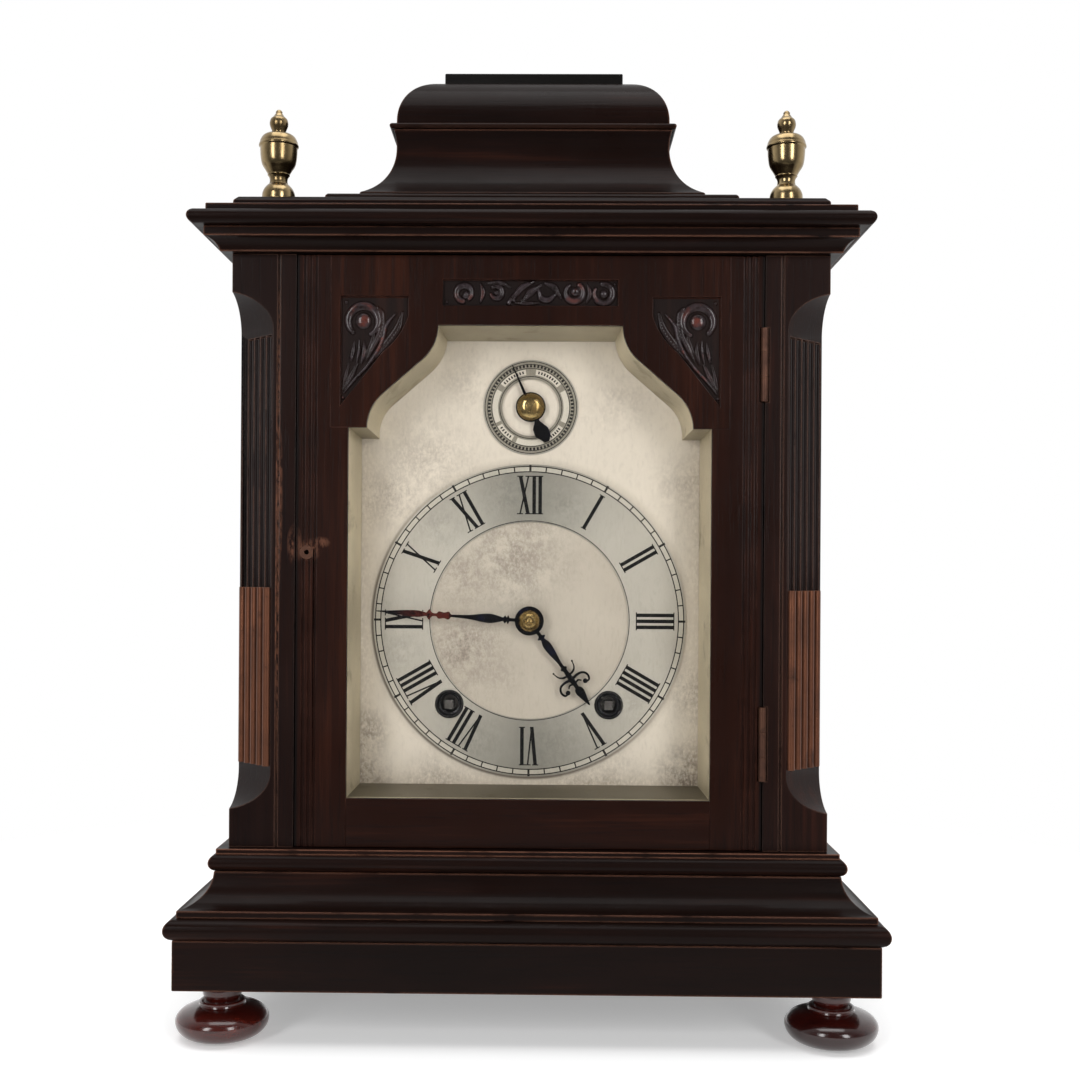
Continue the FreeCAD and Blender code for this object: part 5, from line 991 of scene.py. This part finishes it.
dialParts = {
    "dial_plate": ("dialSilver", "case", "silvered_dial", 0.12),
    "chapter_ring": ("ringSilver", "case", "silvered_ring", 0.12),
    "subsidiary_ring": ("ringSilver", "case", "silvered_ring", 0.12),
    "sight_slip": ("slipSilver", "front_door", "silvered_slip", 0.15)}
for nodeName, values in dialParts.items():
    easeEdges(nodeName, *values)

collarTurning = {
    "runs": [[(3.9, 0.4), (4.5, 0.6)], [(4.9, 2.6), (5.4, 3.25), (5.9, 3.0), (6.18, 2.3)], [(6.18, 0.0)],
             [(3.9, 0.0)], [(3.9, 0.4)]],
    "spread": 34.8, "y": -36.9, "z": 135.4, "sides": 72}
collars = [turnedMesh("collar", collarTurning["runs"], (side * collarTurning["spread"], collarTurning["y"],
                                                        collarTurning["z"]), "-Y", collarTurning["sides"])
           for side in (-1, 1)]
addPiece("windingCollars", joined("windingCollars", collars), "collarBlack", "case",
         ["winding_collars"])


# ---- hands

def mirroredOutline(half):
    # the right-hand half from the tail up to the tip, mirrored
    return half + [(-x, z) for x, z in half[::-1] if abs(x) > 1e-6]


def roundedRun(*points):
    return flatRun(points, 4)


def discOutline(x, z, radius, sides=28):
    return [(x + radius * math.sin(turn), z + radius * math.cos(turn)) for turn in roundTurns(sides)]


minuteHand = {
    "turn": 273.4, "front": -45.0, "back": -44.2, "collet": 6.3,
    "half": [(0.75, 5.6), (0.75, 8.4)] + roundedRun((0.75, 8.6), (1.9, 9.2), (0.9, 9.8))
    + roundedRun((0.9, 9.9), (1.7, 10.5), (0.8, 11.3))
    + roundedRun((0.8, 11.6), (1.35, 13.4), (2.05, 17.0), (1.7, 21.0), (0.95, 26.0), (0.55, 33.6))
    + roundedRun((0.6, 34.0), (1.7, 35.0), (1.25, 37.0), (1.6, 39.2), (0.7, 40.2))
    + roundedRun((0.6, 41.0), (1.0, 42.4), (2.3, 43.4), (0.8, 44.6))
    + roundedRun((0.8, 45.0), (1.45, 48.6), (1.2, 54.0), (0.55, 61.0), (0.22, 66.2)) + [(0, 66.7)],
    "scrolls": [], "balls": []}
hourHand = {
    "turn": 144.0, "front": -42.3, "back": -41.5, "collet": 6.3,
    "half": [(0.8, 5.6), (0.8, 8.0)] + roundedRun((0.8, 8.2), (2.0, 9.0), (0.9, 9.8))
    + roundedRun((0.95, 10.2), (1.8, 13.0), (1.55, 17.0), (0.9, 21.5), (0.75, 24.4))
    + roundedRun((0.8, 24.8), (1.6, 25.6), (0.9, 26.6))
    + roundedRun((0.9, 27.0), (1.15, 29.4), (1.3, 31.6), (1.0, 33.6), (0.9, 35.2))
    + roundedRun((0.9, 35.6), (1.7, 36.6), (1.9, 38.4), (1.2, 41.4), (0.4, 44.6)) + [(0, 45.2)],
    "scrolls": [
        ([(0.4, 29.2), (2.6, 28.8), (4.2, 27.4), (5.0, 24.8)], [1.0, 0.9, 0.7, 0.35]),
        ([(0.4, 31.4), (3.4, 31.0), (5.8, 31.6), (7.0, 33.6), (6.4, 35.6), (4.9, 35.8)],
         [1.3, 1.1, 1.0, 1.0, 0.9, 0.8]),
        ([(0.4, 33.6), (2.2, 33.2), (3.4, 34.2)], [0.9, 0.8, 0.5])],
    "balls": [(4.6, 35.3, 1.05), (4.9, 24.9, 0.45)]}
handCut = {"ease": 0.16, "limit": 35, "layer": 0.012, "back": 0.02, "colletSides": 48}


def flatHand(name, values, finish, body):
    outlines = [mirroredOutline(values["half"]), discOutline(0, 0, values["collet"], handCut["colletSides"])]
    for points, widths in values["scrolls"]:
        ribbon = strokeOutline(points, widths)
        outlines += [ribbon, [(-x, z) for x, z in ribbon]]
    for x, z, radius in values["balls"]:
        outlines += [discOutline(x, z, radius), discOutline(-x, z, radius)]
    meshes = []
    for level, outline in enumerate(outlines):
        placed = turnedTo(outline, values["turn"], 0, centreZ)
        front = values["front"] - handCut["layer"] * level
        flat = prism(placed, front, values["back"] + handCut["back"])
        meshes.append(bevelled(flat, handCut["ease"], limit=handCut["limit"]))
    addPiece(name, joined(name, meshes), finish, body, [body])


flatHand("minuteHandBlued", minuteHand, "bluedSteelRusty", "minute_hand")
flatHand("hourHandBlued", hourHand, "bluedSteel", "hour_hand")

smallPointer = {
    "turn": 336.0, "tailTurn": 336.5, "front": -41.2, "back": -40.5, "layer": 0.01,
    "needle": [(0.75, 4.0), (0.6, 8.0), (0.22, 19.6), (0, 20.0)],
    "tail": [(-0.9, -4.5), (-1.1, -6.8), (-3.0, -9.4), (-3.3, -12.6), (-1.9, -14.6), (-0.4, -16.6),
             (1.6, -16.8), (3.2, -14.6), (3.5, -11.2), (1.3, -7.2), (0.9, -4.5)],
    "disc": (6.5, 40), "eases": (0.08, 0.15, 0.1)}
pointerShapes = [
    turnedTo(mirroredOutline(smallPointer["needle"]), smallPointer["turn"], 0, smallZ),
    turnedTo(smallPointer["tail"], smallPointer["tailTurn"], 0, smallZ),
    discOutline(0, smallZ, *smallPointer["disc"])]
pointerMeshes = [
    bevelled(prism(outline, smallPointer["front"] - smallPointer["layer"] * level, smallPointer["back"]), ease)
    for level, (outline, ease) in enumerate(zip(pointerShapes, smallPointer["eases"]))]
addPiece("smallPointer", joined("smallPointer", pointerMeshes), "bluedSteel", "subsidiary_hand",
         ["subsidiary_hand"])

# brass boss of the small dial, brass nut on the hub
bossTurning = {
    "runs": [[(0, 0), (5.9, 0)], [(5.95, 0.5), (5.6, 1.3)], [(4.9, 2.2), (3.4, 3.0), (1.6, 3.4), (0, 3.5)]],
    "y": -41.25, "sides": 80}
nutTurning = {
    "runs": [[(0, 0), (4.6, 0)], [(4.7, 0.5), (4.45, 1.1)], [(3.9, 2.1), (2.9, 3.1), (1.9, 3.7)],
             [(1.7, 3.35), (1.5, 3.3)], [(0.9, 3.7), (0, 3.85)]],
    "y": -45.06, "sides": 80}
for name, values, z, body, replaced in (("smallBoss", bossTurning, smallZ, "subsidiary_hand", []),
                                        ("hubNut", nutTurning, centreZ, "minute_hand", ["hub_nut"])):
    mesh = turnedMesh(name, values["runs"], (0, values["y"], z), "-Y", values["sides"])
    addPiece(name, mesh, "hubBrass", body, replaced)
print("hands and bosses laid")


# ---- hardware and movement: the nodes keep their shape and get their metal

nodeFinishes = {
    "reedBrass": ["stop_reeds"],
    "hingeBrass": ["case_hinge_leaves", "door_hinge_leaves", "back_hinge_side_leaves", "back_hinge_door_leaves",
                   "back_door_knob", "turn_button", "door_lock", "keyhole_bush"],
    "movementBrass": ["movement_plates", "going_train", "spring_barrels", "hour_wheel", "minute_wheel",
                      "pendulum"],
    "arborSteel": ["winding_arbor_left", "winding_arbor_right"],
    "brightSteel": ["cannon_pinion", "pallet_anchor", "strike_hammer", "lock_bolt"],
    "hubBrass": ["subsidiary_boss"],
    "gongSteel": ["gong_coil"], "ironBlack": ["gong_stand"], "windowGlass": ["door_glass"]}
for finish, names in nodeFinishes.items():
    for nodeName in names:
        nodes[nodeName].data.materials.clear()
        nodes[nodeName].data.materials.append(finishes[finish])
print("node finishes given")


# ---- stage, light and camera

white = (1, 1, 1, 1)
studio = {"reach": 6.0, "floor": (0.88, 0.88, 0.88, 1), "roughness": 0.8, "nearGlow": 0.3, "fade": (0.22, 0.5),
          "front": 0.12, "backdrop": 1.0}


def backdropLevel(tree, ahead):
    # white behind and beside the clock, dim towards the room in front; seen directly it is white all round
    path = tree.add("ShaderNodeLightPath").outputs
    mirrored = tree.larger(path["Is Glossy Ray"], path["Is Transmission Ray"])
    shown = tree.times(mirrored, tree.spread(ahead, -0.3, 0.1))
    room = tree.spread(ahead, -0.6, 0.1, studio["front"], studio["backdrop"])
    return tree.larger(tree.larger(path["Is Camera Ray"], shown), room)


def makeStage():
    wide = studio["reach"]
    mesh = bpy.data.meshes.new("studioFloor")
    corners = [(-wide, -wide, 0), (wide, -wide, 0), (wide, wide, 0), (-wide, wide, 0)]
    mesh.from_pydata(corners, [], [(0, 1, 2, 3)])
    floor = linked("studioFloor", mesh)
    tree = newFinish("paleFloor", Base_Color=studio["floor"], Roughness=studio["roughness"])
    reach = tree.vector("LENGTH", tree.place)["Value"]
    path = tree.add("ShaderNodeLightPath").outputs
    seen = tree.larger(path["Is Camera Ray"], tree.larger(path["Is Glossy Ray"], path["Is Transmission Ray"]))
    plain = tree.shader.outputs[0]
    near = tree.add("ShaderNodeEmission", Color=white, Strength=studio["nearGlow"])
    lit = tree.add("ShaderNodeAddShader", _0=plain, _1=near.outputs[0])
    ahead = tree.over(tree.parts(tree.place)["Y"], reach)
    far = tree.add("ShaderNodeEmission", Color=white, Strength=backdropLevel(tree, ahead))
    blend = tree.add("ShaderNodeMixShader", Fac=tree.spread(reach, *studio["fade"]), _1=lit.outputs[0],
                     _2=far.outputs[0])
    mixed = tree.add("ShaderNodeMixShader", Fac=seen, _1=plain, _2=blend.outputs[0])
    tree.plug(mixed.outputs[0], tree.tree.nodes["Material Output"].inputs["Surface"])
    mesh.materials.append(finishes["paleFloor"])


def makeWorld():
    world = bpy.data.worlds.new("studioWorld")
    scene.world = world
    world.use_nodes = True
    tree = Wiring(world.node_tree)
    background = world.node_tree.nodes["Background"]
    direction = tree.parts(tree.add("ShaderNodeTexCoord").outputs["Generated"])
    tree.plug(backdropLevel(tree, direction["Y"]), background.inputs["Strength"])
    tree.plug(white, background.inputs["Color"])


lamps = {
    # place, aim, width and height, power
    "softLeft": ((-0.75, -1.35, 0.62), (0, 0, 0.2), (0.35, 0.9), 9.0),
    "softRight": ((0.75, -1.35, 0.62), (0, 0, 0.2), (0.35, 0.9), 9.0),
    "softTop": ((0, -0.25, 1.5), (0, 0, 0.2), (1.2, 0.9), 11.0)}


def addLamp(name, place, aim, size, power):
    lamp = bpy.data.lights.new(name, "AREA")
    lamp.shape = "RECTANGLE"
    lamp.size, lamp.size_y = size
    lamp.energy = power
    item = linked(name, lamp)
    item.location = place
    item.rotation_euler = (Vector(aim) - Vector(place)).to_track_quat("-Z", "Y").to_euler()


makeStage()
makeWorld()
for name, values in lamps.items():
    addLamp(name, *values)

cameraValues = {"place": (0.008, -0.6254, 0.192), "lens": 44.73, "yaw": 0.74, "roll": 0.37,
                "shift": (0.0086, 0.0324), "sensor": 36.0, "clip": 0.01}
cameraData = bpy.data.cameras.new("photoCamera")
cameraData.lens = cameraValues["lens"]
cameraData.sensor_width = cameraValues["sensor"]
cameraData.shift_x, cameraData.shift_y = cameraValues["shift"]
cameraData.clip_start = cameraValues["clip"]
camera = linked("photoCamera", cameraData)
camera.location = cameraValues["place"]
level = Matrix.Rotation(math.radians(cameraValues["yaw"]), 3, "Z") @ Matrix.Rotation(math.radians(90), 3, "X")
camera.rotation_euler = (level @ Matrix.Rotation(math.radians(cameraValues["roll"]), 3, "Z")).to_euler()
bpy.context.scene.camera = camera
scene.view_settings.view_transform = "Standard"
print("stage, lamps and camera set")
